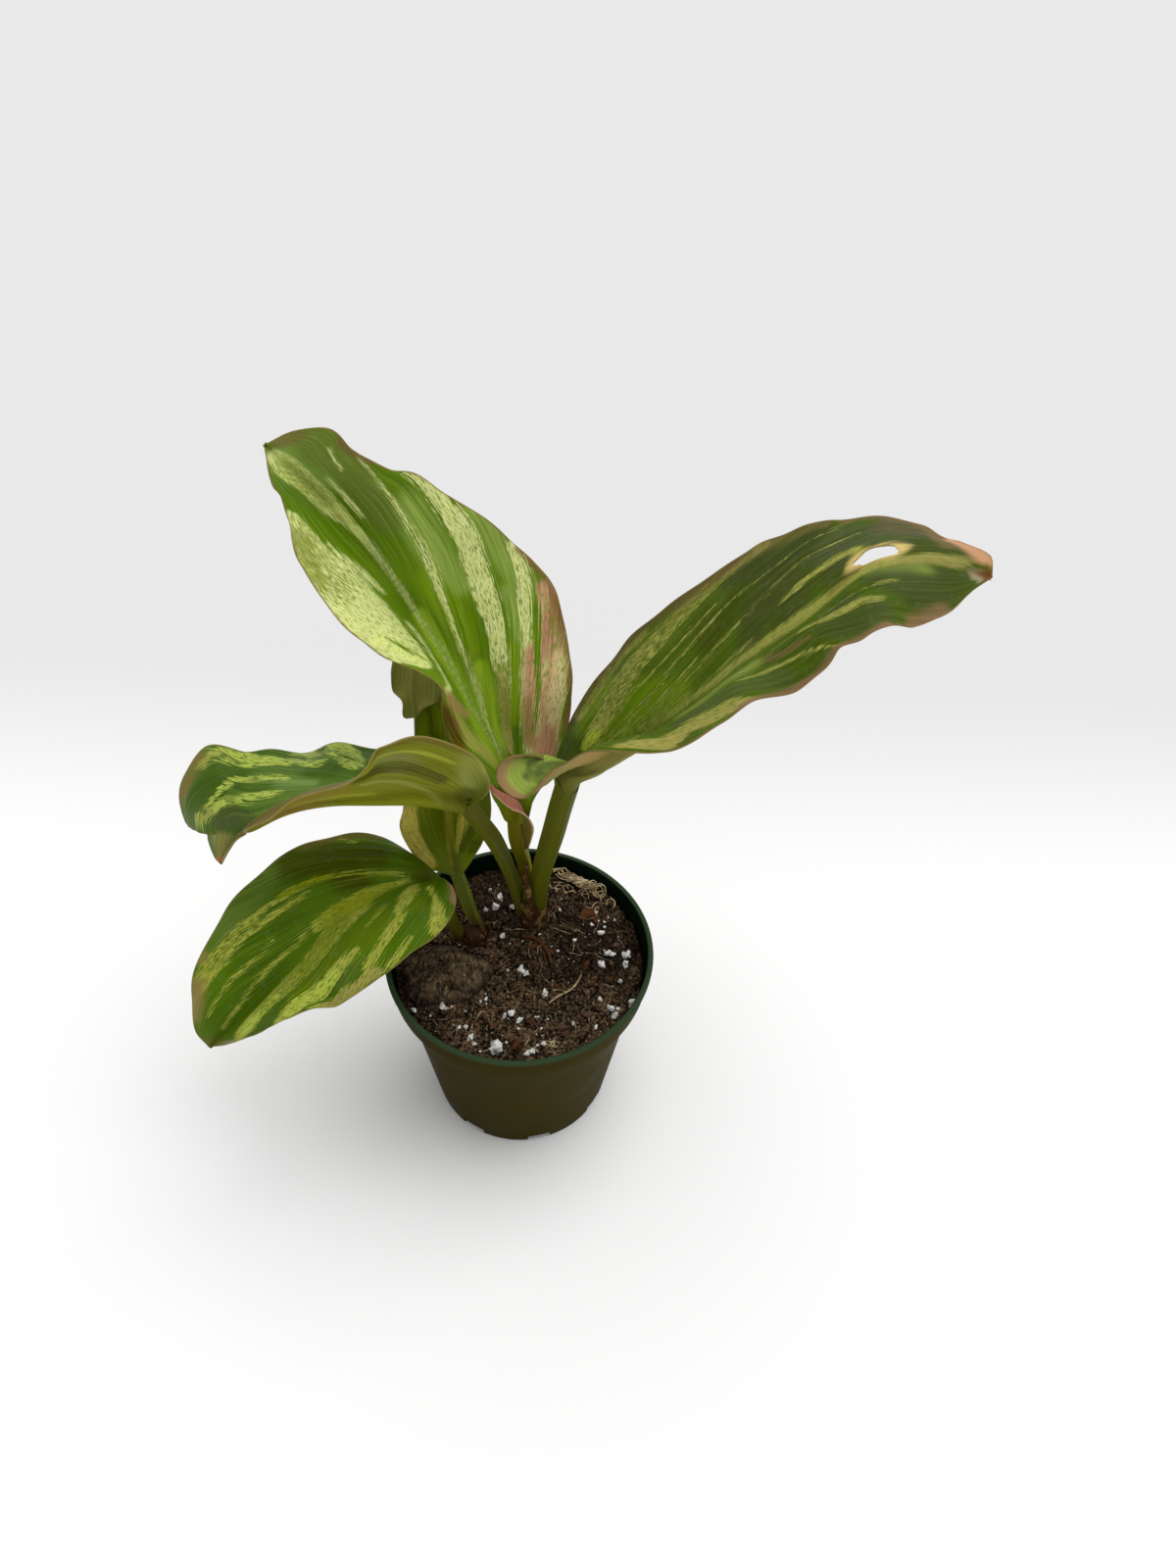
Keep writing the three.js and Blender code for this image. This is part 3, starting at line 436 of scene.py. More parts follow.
shapes = [rough_lump("crumb", 1, (1, 0.8, 0.7), 0.5, 1.3),
          rough_lump("crumb", 1, (0.9, 0.6, 0.8), 0.7, 4.6)]
places = []
for _ in range(CRUMB_COUNT):
    x, y, z = on_soil(49.0)
    size = 0.35 + 0.9 * chance.random() ** 2.2
    places.append(((x, y, z + 0.2 * size), size, tumbled()))
loose_crumbs = strewn("loose_crumbs", shapes, places)
loose_crumbs.data.materials.append(peat)
# The loose crumbs take the painted light of the crumbs' tops
set_attribute(loose_crumbs.data, "heap", np.full(len(loose_crumbs.data.vertices), 0.8))
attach(loose_crumbs, "root")

shapes = [rough_lump("chip", 2, (1.0, 0.62, 0.26), 0.45, 2.2),
          rough_lump("chip", 2, (1.0, 0.45, 0.3), 0.6, 8.4)]
places = []
for x, y, size, spin in CHIP_PLACES:
    z = float(soil_height(x, y)) + 0.6
    places.append(((x, y, z), size * 0.9, (0.2, 0.15, spin)))
for _ in range(SOWN_CHIPS):
    x, y, z = on_soil(47.0)
    places.append(((x, y, z + 0.25), 0.8 + 1.1 * chance.random(),
                   (chance.uniform(-0.5, 0.5), chance.uniform(-0.6, 0.6), chance.uniform(0, 6.28))))
bark_chips = strewn("bark_chips", shapes, places)

# Composted pine bark: fibrous, from dull brown to a rusty orange-brown where it broke
bark, tree = new_material("composted_bark")
place = add_node(tree, "TexCoord", output="Object")
kinds = add_node(tree, "TexNoise", {"Vector": place, "Scale": 60.0, "Detail": 1.0})
fibres = add_node(tree, "Mapping", {"Vector": place, "Scale": (300, 1500, 900), "Rotation": (0, 0, 0.5)})
fibres = add_node(tree, "TexNoise", {"Vector": fibres, "Scale": 1.0, "Detail": 4.0, "Roughness": 0.7})
rust = add_node(tree, "Mix", {0: fibres, 6: linear("#2c1608"), 7: linear("#683c1a")}, 2, data_type="RGBA")
dull = add_node(tree, "Mix", {0: fibres, 6: linear("#2e2016"), 7: linear("#6a543f")}, 2, data_type="RGBA")
share = add_node(tree, "MapRange", {0: kinds, 1: 0.42, 2: 0.56})
tone = add_node(tree, "Mix", {0: share, 6: rust, 7: dull}, 2, data_type="RGBA")
relief = add_node(tree, "Bump", {"Height": fibres, "Strength": 0.8, "Distance": 0.0003})
woody = add_node(tree, "BsdfPrincipled", {"Base Color": tone, "Roughness": 0.82, "Normal": relief,
                                          "Specular IOR Level": 0.15})
add_node(tree, "OutputMaterial", {"Surface": woody})
bark_chips.data.materials.append(bark)
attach(bark_chips, "root")


# The perlite.
# Grains of puffed volcanic glass mixed into the soil: white, crushed-looking and from half a
# millimetre to 6 mm wide. The ones that the eye notices stand at their places, the rest is sown.
PERLITE = [
    (-5.6, -43, 3.7), (-6.4, -40.6, 2.1), (6.6, -44.2, 2.0), (8.2, -43.6, 1.2), (-16.2, -38.2, 1.8),
    (-18.6, -33.5, 1.3), (-14.5, -40.4, 1.2), (-28.3, -25.2, 1.8), (-25.6, -25, 1.2),
    (-21.2, -33.7, 0.9), (-39.5, -27, 1.3), (-15.6, 36.6, 0.9), (-11.9, 23.4, 2.0), (-10.6, 28.6, 1.8),
    (-15.9, 22.1, 1.3), (-5, 24.8, 1.4), (-7.8, 9.6, 1.6), (1, -6.7, 2.0), (3, -7.6, 1.3),
    (15, 25.9, 0.9), (28.8, 18.8, 0.9), (25.5, 26, 0.9), (32.8, 14.6, 1.6), (35.4, 2.6, 1.7),
    (37.4, 2.2, 1.3), (43.2, 4.2, 2.2), (43, -0.8, 2.0), (33.2, -2.2, 1.9), (46, -18.5, 2.1),
    (38.9, -25.4, 2.0), (37.2, -22.2, 1.7), (40.4, -21.4, 1.1), (41, -8.6, 1.3), (11, -17, 1.7),
    (-1.6, -26.6, 1.7), (-4, -27.2, 1.2), (2, -30.4, 1.2), (33, -17.4, 1.3), (31.7, -31.8, 1.1),
    (22.9, -29.6, 0.8), (22, 9.6, 1.1), (12, -40, 1.4), (24.5, -42, 1.2),
]
SOWN_GRAINS = 90

shapes = [rough_lump("grain", 3, (1.1, 0.72, 0.7), 1.0, 5.1),
          rough_lump("grain", 3, (1, 0.8, 0.7), 0.9, 9.3),
          rough_lump("grain", 3, (1, 0.6, 0.66), 1.0, 3.7)]
places = []
for x, y, size in PERLITE:
    z = float(soil_height(x, y)) + 0.5 + 0.25 * size
    places.append(((x, y, z), size * 0.86, tumbled()))
perlite = strewn("perlite", shapes, places)
shapes = [rough_lump("grain", 2, (1, 0.8, 0.75), 0.5, 6.4),
          rough_lump("grain", 2, (0.9, 0.7, 0.6), 0.6, 1.8)]
places = []
for _ in range(SOWN_GRAINS):
    x, y, z = on_soil(48.0)
    size = 0.25 + 0.55 * chance.random() ** 2
    places.append(((x, y, z + 0.3 * size), size, tumbled()))
small_perlite = strewn("small_perlite", shapes, places)

# Expanded perlite: chalk white and matt, pitted by its burst bubbles and smeared with brown dust
glass_foam, tree = new_material("expanded_perlite")
place = add_node(tree, "TexCoord", output="Object")
pits = add_node(tree, "TexVoronoi", {"Vector": place, "Scale": 1100.0}, "Distance")
smear = add_node(tree, "TexNoise", {"Vector": place, "Scale": 320.0, "Detail": 3.0})
share = add_node(tree, "MapRange", {0: smear, 1: 0.52, 2: 0.72, 4: 0.7})
tone = add_node(tree, "Mix", {0: share, 6: linear("#ecece8"), 7: linear("#a39685")}, 2, data_type="RGBA")
relief = add_node(tree, "Bump", {"Height": pits, "Strength": 0.7, "Distance": 0.0004})
chalky = add_node(tree, "BsdfPrincipled", {"Base Color": tone, "Roughness": 0.85, "Normal": relief})
add_node(tree, "OutputMaterial", {"Surface": chalky})
for grains in (perlite, small_perlite):
    grains.data.materials.append(glass_foam)
    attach(grains, "root")


# Root fibres in the soil.
# Thin dry rootlets and coir hairs lie across the crumbs, and one thicker pale root with a forked
# end sticks out in the middle. A curved strip of orange bark fibre lies in front of the shoot, and
# a few straw-coloured fibres lie by the wall at the front.
ROOTLETS = 75
FRONT_FIBRES = 26


def through(knots, shares):
    """A smooth curve through knots (share, ...values), at many shares at once."""
    knots = np.array(knots, float)
    place, value = knots[:, 0], knots[:, 1:]
    index = np.arange(len(knots))
    before, after = np.maximum(index - 1, 0), np.minimum(index + 1, len(knots) - 1)
    slope = (value[after] - value[before]) / (place[after] - place[before])[:, None]
    i = np.clip(np.searchsorted(place, shares) - 1, 0, len(knots) - 2)
    span = (place[i + 1] - place[i])[:, None]
    u = np.clip((np.asarray(shares)[:, None] - place[i][:, None]) / span, 0, 1)
    h1 = u * u * (3 - 2 * u)
    h2 = u * (1 - u) ** 2 * span
    h3 = u * u * (u - 1) * span
    return value[i] * (1 - h1) + value[i + 1] * h1 + slope[i] * h2 + slope[i + 1] * h3


def spaced(points):
    """Gives points (x, y, z, ...) shares by their distance along the line."""
    points = np.array(points, float)
    steps = np.linalg.norm(np.diff(points[:, :3], axis=0), axis=1)
    shares = np.concatenate([[0], np.cumsum(steps)]) / steps.sum()
    return np.column_stack([shares, points])


def laid_strands(name, strands, sides=1):
    """Round strands through points (x, y, z, radius) in mm, drawn as bevelled curves and made a mesh."""
    bpy.ops.object.select_all(action="DESELECT")
    curve = bpy.data.curves.new(name, "CURVE")
    curve.dimensions = "3D"
    curve.bevel_depth = MM
    curve.bevel_resolution = sides
    curve.use_fill_caps = True
    for points in strands:
        line = through(spaced(points), np.linspace(0, 1, 4 * len(points)))
        spline = curve.splines.new("POLY")
        spline.points.add(len(line) - 1)
        spline.points.foreach_set("co", np.column_stack([line[:, :3] * MM, np.ones(len(line))]).ravel())
        spline.points.foreach_set("radius", line[:, 3])
    piece = bpy.data.objects.new(name, curve)
    scene.collection.objects.link(piece)
    piece.select_set(True)
    bpy.context.view_layer.objects.active = piece
    bpy.ops.object.convert(target="MESH")
    bpy.ops.object.shade_smooth()
    return bpy.context.object


strands = []
for _ in range(ROOTLETS):
    x, y, z = on_soil(45.0)
    heading, bend = chance.uniform(0, 6.28), chance.uniform(-0.5, 0.5)
    radius, reach = chance.uniform(0.07, 0.16), chance.uniform(1.2, 3.2)
    points = []
    for _ in range(4):
        height = float(soil_height(x, y)) + crumbs(x, y)
        points.append((x, y, max(height, z - 0.4) + 0.25, radius))
        x += reach * math.cos(heading)
        y += reach * math.sin(heading)
        heading += bend
    if math.hypot(x, y) < 49:
        strands.append(points)
for _ in range(FRONT_FIBRES):
    x, y = chance.uniform(3, 27), chance.uniform(-44, -37)
    if math.hypot(x, y) < 45:
        heading, bend = chance.uniform(-0.5, 1.1), chance.uniform(-0.5, 0.5)
        points = []
        for step in range(4):
            points.append((x, y, float(soil_height(x, y)) + crumbs(x, y) + 0.4, 0.22))
            x += 1.6 * math.cos(heading + bend * step)
            y += 1.6 * math.sin(heading + bend * step)
        strands.append(points)
rootlets = laid_strands("rootlets", strands, 0)
pale_root = laid_strands("pale_root", [
    [(13, -21, 80.6, 0.3), (16.6, -18.4, 81.8, 0.42), (19.6, -16.8, 82.4, 0.45), (22.4, -14.6, 82.9, 0.42),
     (24.4, -11.4, 83.6, 0.34), (25.4, -9, 84.4, 0.22)],
    [(19.6, -16.8, 82.3, 0.3), (17.2, -15.4, 81.6, 0.26), (14.2, -15.2, 80.8, 0.18)],
])
bark_strip = laid_strands("bark_strip", [
    [(0.5, 9.5, 82.6, 0.5), (4.4, 8.6, 83.4, 0.75), (8.2, 6.2, 83.4, 0.8), (11.4, 1.8, 82.6, 0.7),
     (13, -2.8, 81.4, 0.4)],
    [(2, 7.8, 82.4, 0.4), (6, 6.2, 82.8, 0.55), (9.4, 2.2, 82.2, 0.5), (10.6, -1.6, 81.4, 0.3)],
])

# Dry root: straw-coloured and matt, darker where soil clings to it
straw, tree = new_material("dry_root_fibre")
place = add_node(tree, "TexCoord", output="Object")
soiled = add_node(tree, "TexNoise", {"Vector": place, "Scale": 260.0, "Detail": 4.0, "Roughness": 0.65})
tone = add_node(tree, "MapRange", {0: soiled, 1: 0.4, 2: 0.62})
tone = add_node(tree, "Mix", {0: tone, 6: linear("#76613f"), 7: linear("#d6c39c")}, 2, data_type="RGBA")
relief = add_node(tree, "Bump", {"Height": soiled, "Strength": 0.6, "Distance": 0.0003})
papery = add_node(tree, "BsdfPrincipled", {"Base Color": tone, "Roughness": 0.8, "Normal": relief,
                                           "Specular IOR Level": 0.15})
add_node(tree, "OutputMaterial", {"Surface": papery})
for piece, material, slot in ((rootlets, straw, "dry_root"), (pale_root, straw, "dry_root"),
                              (bark_strip, bark, "soil")):
    piece.data.materials.append(material)
    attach(piece, "root")


# The clump of peat.
# A crumb of old, dry peat and moss, 36 mm across, that was dropped in with the plant. It lies loose
# on the soil at the left, greyer than the rest and furred with fibres.
CLUMP_HEIGHT = 7
CLUMP_FOOT = 80.3
CLUMP_SECTORS = 180
CLUMP_RINGS = 64
turns = np.linspace(0, 2 * math.pi, CLUMP_SECTORS + 1)
rings = np.linspace(0.01, 1, CLUMP_RINGS)
outline = 1 + 0.07 * np.sin(3 * turns + 1) + 0.05 * np.sin(5 * turns)
clump_x = CLUMP_RADII[0] * rings[:, None] * outline * np.cos(turns)
clump_y = CLUMP_RADII[1] * rings[:, None] * outline * np.sin(turns)
rise = CLUMP_HEIGHT * (1 - rings[:, None] ** 2.6)
rise = rise + 0.7 * (1 - rings[:, None]) * np.sin(clump_x) * np.cos(0.8 * clump_y)
fluff = heaped(clump_x * 0.8 + 90, clump_y * 0.8)
clump_z = CLUMP_FOOT + 0.9 + 0.88 * rise + 0.55 * fluff * (1 - rings[:, None] ** 6)
rows = [np.stack([clump_x + CLUMP_CENTRE[0], clump_y + CLUMP_CENTRE[1], clump_z], axis=-1)]
for share, height in ((1.0, 80.7), (0.97, CLUMP_FOOT), (0.5, CLUMP_FOOT), (0.01, CLUMP_FOOT)):
    x = CLUMP_RADII[0] * share * outline * np.cos(turns) + CLUMP_CENTRE[0]
    y = CLUMP_RADII[1] * share * outline * np.sin(turns) + CLUMP_CENTRE[1]
    rows.append(np.stack([x, y, np.full_like(x, height)], axis=-1)[None])
clump = bent_grid("peat_lump", np.concatenate(rows))
# The lower rings get the lowest value, which the material paints dark as shade
set_attribute(clump.data, "heap", np.concatenate([fluff.ravel(), np.full(4 * len(turns), -1.0)]))
close_rings(clump)

# Dry sphagnum peat: matt and grey-brown with short pale fibres. Painted shade darkens its hollows and its
# lowest rings, and a painted contact shadow makes it near black at its foot
old_peat, tree = new_material("dry_sphagnum_peat")
place = add_node(tree, "TexCoord", output="Object")
heap_height = add_node(tree, "Attribute", output="Fac", attribute_name="heap")
patches = add_node(tree, "TexNoise", {"Vector": place, "Scale": 90.0, "Detail": 4.0})
fur = add_node(tree, "Mapping", {"Vector": place, "Scale": (700, 260, 500), "Rotation": (0, 0, 0.9)})
fur = add_node(tree, "TexNoise", {"Vector": fur, "Scale": 1.0, "Detail": 5.0, "Roughness": 0.75})
tone = add_node(tree, "Mix", {0: patches, 6: linear("#473522"), 7: linear("#75604a")}, 2, data_type="RGBA")
# Painted shade: the clump's hollows and its lowest rings are darkened
lit_tops = add_node(tree, "MapRange", {0: heap_height, 1: -0.9, 2: 0.9})
tone = add_node(tree, "Mix", {0: lit_tops, 6: linear("#140d07"), 7: tone}, 2, data_type="RGBA")
hairs = add_node(tree, "MapRange", {0: fur, 1: 0.53, 2: 0.64, 4: 0.75})
tone = add_node(tree, "Mix", {0: hairs, 6: tone, 7: linear("#9c8866")}, 2, data_type="RGBA")
# Painted contact shadow: near black toward the clump's foot
foot = add_node(tree, "SeparateXYZ", {0: place}, "Z")
foot = add_node(tree, "MapRange", {0: foot, 1: 0.0845, 2: 0.0805, 4: 0.85}, interpolation_type="SMOOTHSTEP")
tone = add_node(tree, "Mix", {0: foot, 6: tone, 7: linear("#150e08")}, 2, data_type="RGBA")
relief = add_node(tree, "Bump", {"Height": fur, "Strength": 0.9, "Distance": 0.0007})
mossy = add_node(tree, "BsdfPrincipled", {"Base Color": tone, "Roughness": 0.95, "Normal": relief,
                                          "Specular IOR Level": 0.2})
add_node(tree, "OutputMaterial", {"Surface": mossy})
clump.data.materials.append(old_peat)
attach(clump, "root")
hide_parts("peat_clump")


# The net of dry roots.
# Old roots that were lifted with the plant lie along the wall at the back right: straw-coloured
# wiry strands, twisted round each other and ending in small open loops.
NET_LINE = [(10.5, 46.6, 82.2), (14, 45.4, 82.8), (18, 43, 83), (22, 40.4, 83), (26.5, 37.8, 83.2),
            (31, 35, 83), (36, 32, 82.4)]
NET_REACH = 50.0
NET_STRANDS = 26
NET_LOOPS = [(31.4, 35, 2.9, 0.0, 5.9), (31.8, 34.6, 2.4, 1.2, 6.9), (34.2, 31, 2.2, 2.0, 6.6),
             (28.6, 38, 1.7, 0.5, 5.2), (36.4, 28.2, 1.8, -1.0, 3.6)]
LOOP_THICKNESS = 0.26
STRAY_STRANDS = 16
strands = []
for _ in range(NET_STRANDS):
    phase, reach, rounds = chance.uniform(0, 6.28), chance.uniform(0.5, 3.1), chance.uniform(0.8, 3.2)
    first = chance.uniform(0, 0.5)
    shares = np.linspace(first, first + chance.uniform(0.35, 0.5), 14)
    twist = phase + shares * rounds * 2 * math.pi
    core = through(spaced(NET_LINE), shares)
    core += reach * np.stack([0.55 * np.sin(twist), 0.85 * np.sin(twist), 0.3 * np.cos(twist)], axis=-1)
    core[:, :2] *= np.minimum(1, NET_REACH / np.hypot(core[:, 0], core[:, 1]))[:, None]
    thickness = chance.uniform(0.14, 0.34)
    strands.append([(*point, thickness) for point in core])
for x, y, radius, start, stop in NET_LOOPS:
    strands.append([(x + radius * math.cos(turn), y + 1.15 * radius * math.sin(turn),
                     83.6 + 0.7 * math.sin(turn), LOOP_THICKNESS) for turn in np.linspace(start, stop, 12)])
for _ in range(STRAY_STRANDS):
    along = chance.random()
    angle = math.radians(80 - 44 * along)
    radius = 42 + chance.uniform(-3.5, 2)
    x, y = radius * math.cos(angle), radius * math.sin(angle)
    heading = chance.uniform(0, 6.28)
    strands.append([(x + 1.6 * k * math.cos(heading + 0.4 * k), y + 1.6 * k * math.sin(heading + 0.4 * k),
                     81.4 + chance.uniform(0, 1.4), 0.22) for k in range(4)])
root_net = laid_strands("root_net", strands)
root_net.data.materials.append(straw)
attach(root_net, "root")
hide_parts("dry_root_tangle")


# The two shoots.
# Each is a short false stem of leaf bases rolled round each other; at the soil the outermost have
# dried to brown paper. They stand on a knobbly rootstock that lies hidden in the soil.
MAIN_SHOOT = (4.0, 21.5)
SIDE_SHOOT = (-19.8, 10.0)
PAPER_THICKNESS = 0.3


def false_stem(name, centre, profile, ribs, wave):
    """A round stem with ribs along it: a disc extruded through (radius, height), then its rings pushed."""
    stem = turned(name, profile, 72)
    for vertex in stem.data.vertices:
        x, y, z = vertex.co / MM
        angle = math.atan2(y, x)
        push = math.sin(ribs * angle + 0.06 * z) + 0.6 * math.sin((2 * ribs + 1) * angle + 0.11 * z)
        push = 1 + wave * push
        vertex.co = Vector((x * push + centre[0], y * push + centre[1], z)) * MM
    bpy.ops.object.shade_smooth()
    return stem


main_stem = false_stem("main_false_stem", MAIN_SHOOT, [
    (5.2, 60), (6.4, 66), (6.6, 74), (6.2, 79), (5.7, 82), (5.5, 85), (5.4, 88), (5.3, 92), (5.0, 96),
    (4.4, 99.2), (3.2, 101), (1.0, 101.4)], 9, 0.025)
side_stem = false_stem("side_false_stem", SIDE_SHOOT, [
    (4.4, 60), (5.2, 66), (5.2, 74), (4.9, 78), (4.6, 80.5), (4.4, 83), (4.1, 84), (3.4, 84.9),
    (1.0, 85.2)], 7, 0.03)
rootstock = turned("rootstock", [
    (1.0, -22), (4.4, -21.2), (6.6, -18), (8, -12), (7, -6), (8.2, 0), (7, 6), (8, 12), (6.6, 18),
    (4.4, 21.2), (1.0, 22)], 48)
lie = Matrix.Rotation(math.atan2(11.5, 23.8), 4, "Z") @ Matrix.Rotation(math.pi / 2, 4, "Y")
rootstock.data.transform(Matrix.Translation(Vector((-7.9, 15.7, 58)) * MM) @ lie)
bpy.ops.object.shade_smooth()
shoots = joined([main_stem, side_stem, rootstock], "false_stems")


def made_paper(sheet):
    """Gives a bent grid the thickness of dry leaf base."""
    thick = sheet.modifiers.new("paper", "SOLIDIFY")
    thick.thickness = PAPER_THICKNESS * MM
    thick.offset = 0
    bpy.ops.object.modifier_apply(modifier=thick.name)
    bpy.ops.object.shade_smooth()
    return sheet


def dried_sheath(name, centre, radius, turn_from, turn_to, low, high, flare, seed):
    """A strip of dry leaf base round a stem, in mm and degrees, thin, wrinkled and torn at its top."""
    angles = np.radians(np.linspace(turn_from, turn_to, 60))
    rows = []
    for share in np.linspace(0, 1, 26):
        row = []
        for k, angle in enumerate(angles):
            side = k / (len(angles) - 1)
            tear = (0.5 + 0.5 * noise.noise((side * 4.5, seed, 0.0))
                    + 0.35 * noise.noise((side * 16, seed, 3.0)))
            height = low + (high - low) * share * (0.55 + 0.45 * tear) * (1 - 0.25 * abs(2 * side - 1) ** 3)
            wrinkle = (0.22 * math.sin(side * 38 + 3 * seed)
                       + 0.3 * noise.noise((side * 7, share * 2.5, seed)))
            out = radius + wrinkle + flare * share ** 2.5
            row.append((centre[0] + out * math.cos(angle), centre[1] + out * math.sin(angle), height))
        rows.append(row)
    return made_paper(bent_grid(name, np.array(rows)))


sheaths = [
    dried_sheath("sheath", MAIN_SHOOT, 6.0, -200, 20, 76, 103, 0.2, 1.7),
    dried_sheath("sheath", MAIN_SHOOT, 6.5, -130, 40, 76, 96, 0.5, 4.2),
    dried_sheath("sheath", MAIN_SHOOT, 5.9, 40, 200, 76, 99, 0.3, 8.8),
    dried_sheath("sheath", SIDE_SHOOT, 5.0, -190, 10, 76, 88.5, 0.4, 2.9),
    dried_sheath("sheath", SIDE_SHOOT, 5.2, -60, 60, 77, 86, 1.8, 6.1),
]


def torn_strip(name, line, seed):
    """A curled scrap through points (x, y, z, half-width) in mm, turned flat to the front."""
    run = through(spaced(line), np.linspace(0, 1, 44))
    rows = []
    for i, (x, y, z, half) in enumerate(run):
        row = []
        for side in np.linspace(-1, 1, 9):
            wide = half * side * (1 + 0.35 * noise.noise((i * 0.35, side * 0.8, seed)))
            curl = 0.5 * half * side * side + 0.3 * noise.noise((i * 0.2, side, seed + 4))
            row.append((x + wide, y - 0.5 * curl, z + 0.35 * curl))
        rows.append(row)
    return made_paper(bent_grid(name, np.array(rows)))


sheaths += [
    torn_strip("strip", [(2.2, 14.6, 122.5, 0.6), (1.7, 14.4, 116, 1.0), (2.2, 14, 110, 1.2),
                         (3.4, 13.6, 102, 1.0), (4.2, 13.8, 95, 0.9), (4.4, 14.4, 88, 0.7)], 1.0),
    torn_strip("strip", [(-19, 13, 84, 0.6), (-17, 11.4, 86, 0.9), (-15.2, 9.6, 85.4, 0.9),
                         (-14.6, 8.4, 83.4, 0.5)], 5.0),
    torn_strip("strip", [(-18.4, 5.2, 81, 0.5), (-16.8, 4.4, 82.6, 0.8), (-15.6, 5, 83.2, 0.8),
                         (-14.8, 6.4, 82, 0.5)], 7.0),
]
dry_sheaths = joined(sheaths, "dry_sheaths")

# Leaf base: olive green where it lives, and brown, fibrous and dull where it has dried at the soil
leaf_base, tree = new_material("rolled_leaf_base")
place = add_node(tree, "TexCoord", output="Object")
height = add_node(tree, "SeparateXYZ", {0: place}, "Z")
fibres = add_node(tree, "Mapping", {"Vector": place, "Scale": (900, 900, 70)})
fibres = add_node(tree, "TexNoise", {"Vector": fibres, "Scale": 1.0, "Detail": 4.0, "Roughness": 0.65})
blotch = add_node(tree, "TexNoise", {"Vector": place, "Scale": 150.0, "Detail": 4.0})
brown = add_node(tree, "Mix", {0: fibres, 6: linear("#1f130a"), 7: linear("#4d3218")}, 2, data_type="RGBA")
olive = add_node(tree, "Mix", {0: fibres, 6: linear("#3e400d"), 7: linear("#64661c")}, 2, data_type="RGBA")
edge = add_node(tree, "Math", {0: blotch, 1: 0.022, 2: height}, operation="MULTIPLY_ADD")
live = add_node(tree, "MapRange", {0: edge, 1: 0.099, 2: 0.1065})
tone = add_node(tree, "Mix", {0: live, 6: brown, 7: olive}, 2, data_type="RGBA")
relief = add_node(tree, "Bump", {"Height": fibres, "Strength": 0.6, "Distance": 0.0004})
rolled = add_node(tree, "BsdfPrincipled", {"Base Color": tone, "Roughness": 0.62, "Normal": relief,
                                           "Specular IOR Level": 0.12})
add_node(tree, "OutputMaterial", {"Surface": rolled})
shoots.data.materials.append(leaf_base)
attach(shoots, "root")
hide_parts("rhizome_and_shoots")

# Dried leaf base: brown paper, rusty along its fibres and beige where it has curled away
brown_paper, tree = new_material("dried_leaf_base")
place = add_node(tree, "TexCoord", output="Object")
fibres = add_node(tree, "Mapping", {"Vector": place, "Scale": (1100, 1100, 90)})
fibres = add_node(tree, "TexNoise", {"Vector": fibres, "Scale": 1.0, "Detail": 4.0, "Roughness": 0.7})
blotch = add_node(tree, "TexNoise", {"Vector": place, "Scale": 210.0, "Detail": 4.0})
tone = add_node(tree, "Mix", {0: fibres, 6: linear("#24150a"), 7: linear("#5c3a1d")}, 2, data_type="RGBA")
worn = add_node(tree, "MapRange", {0: blotch, 1: 0.54, 2: 0.64, 4: 0.6})
tone = add_node(tree, "Mix", {0: worn, 6: tone, 7: linear("#a18655")}, 2, data_type="RGBA")
relief = add_node(tree, "Bump", {"Height": fibres, "Strength": 0.7, "Distance": 0.0003})
paper_skin = add_node(tree, "BsdfPrincipled", {"Base Color": tone, "Roughness": 0.66, "Normal": relief,
                                               "Specular IOR Level": 0.12})
add_node(tree, "OutputMaterial", {"Surface": paper_skin})
dry_sheaths.data.materials.append(brown_paper)
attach(dry_sheaths, "root")


# The five leaves.
# Each is one living leaf: a channelled stalk that runs on as the midrib of a thin waved blade.
# Its foot stands in the false stem; the blade is green with pale, blushed and flecked stripes
# that follow the side veins, as a chimera's dead-white tissue does.
LEAF_EDGE = 0.5
LEAF_TIP = 0.5
RIB_TIP = 0.9
RIB_DEPTH = 1.55
STALK_CHANNEL = -0.25
GROOVE_DEPTH = 0.35
PLEAT_LENGTH = 15
PLEAT_RISE = 0.26
RUFFLE_RISE = 0.9
LAP_ROWS = 60
LAP_COLUMNS = 13
STALK_ROWS = 36
BLADE_ROWS = 150
HALF_COLUMNS = 50

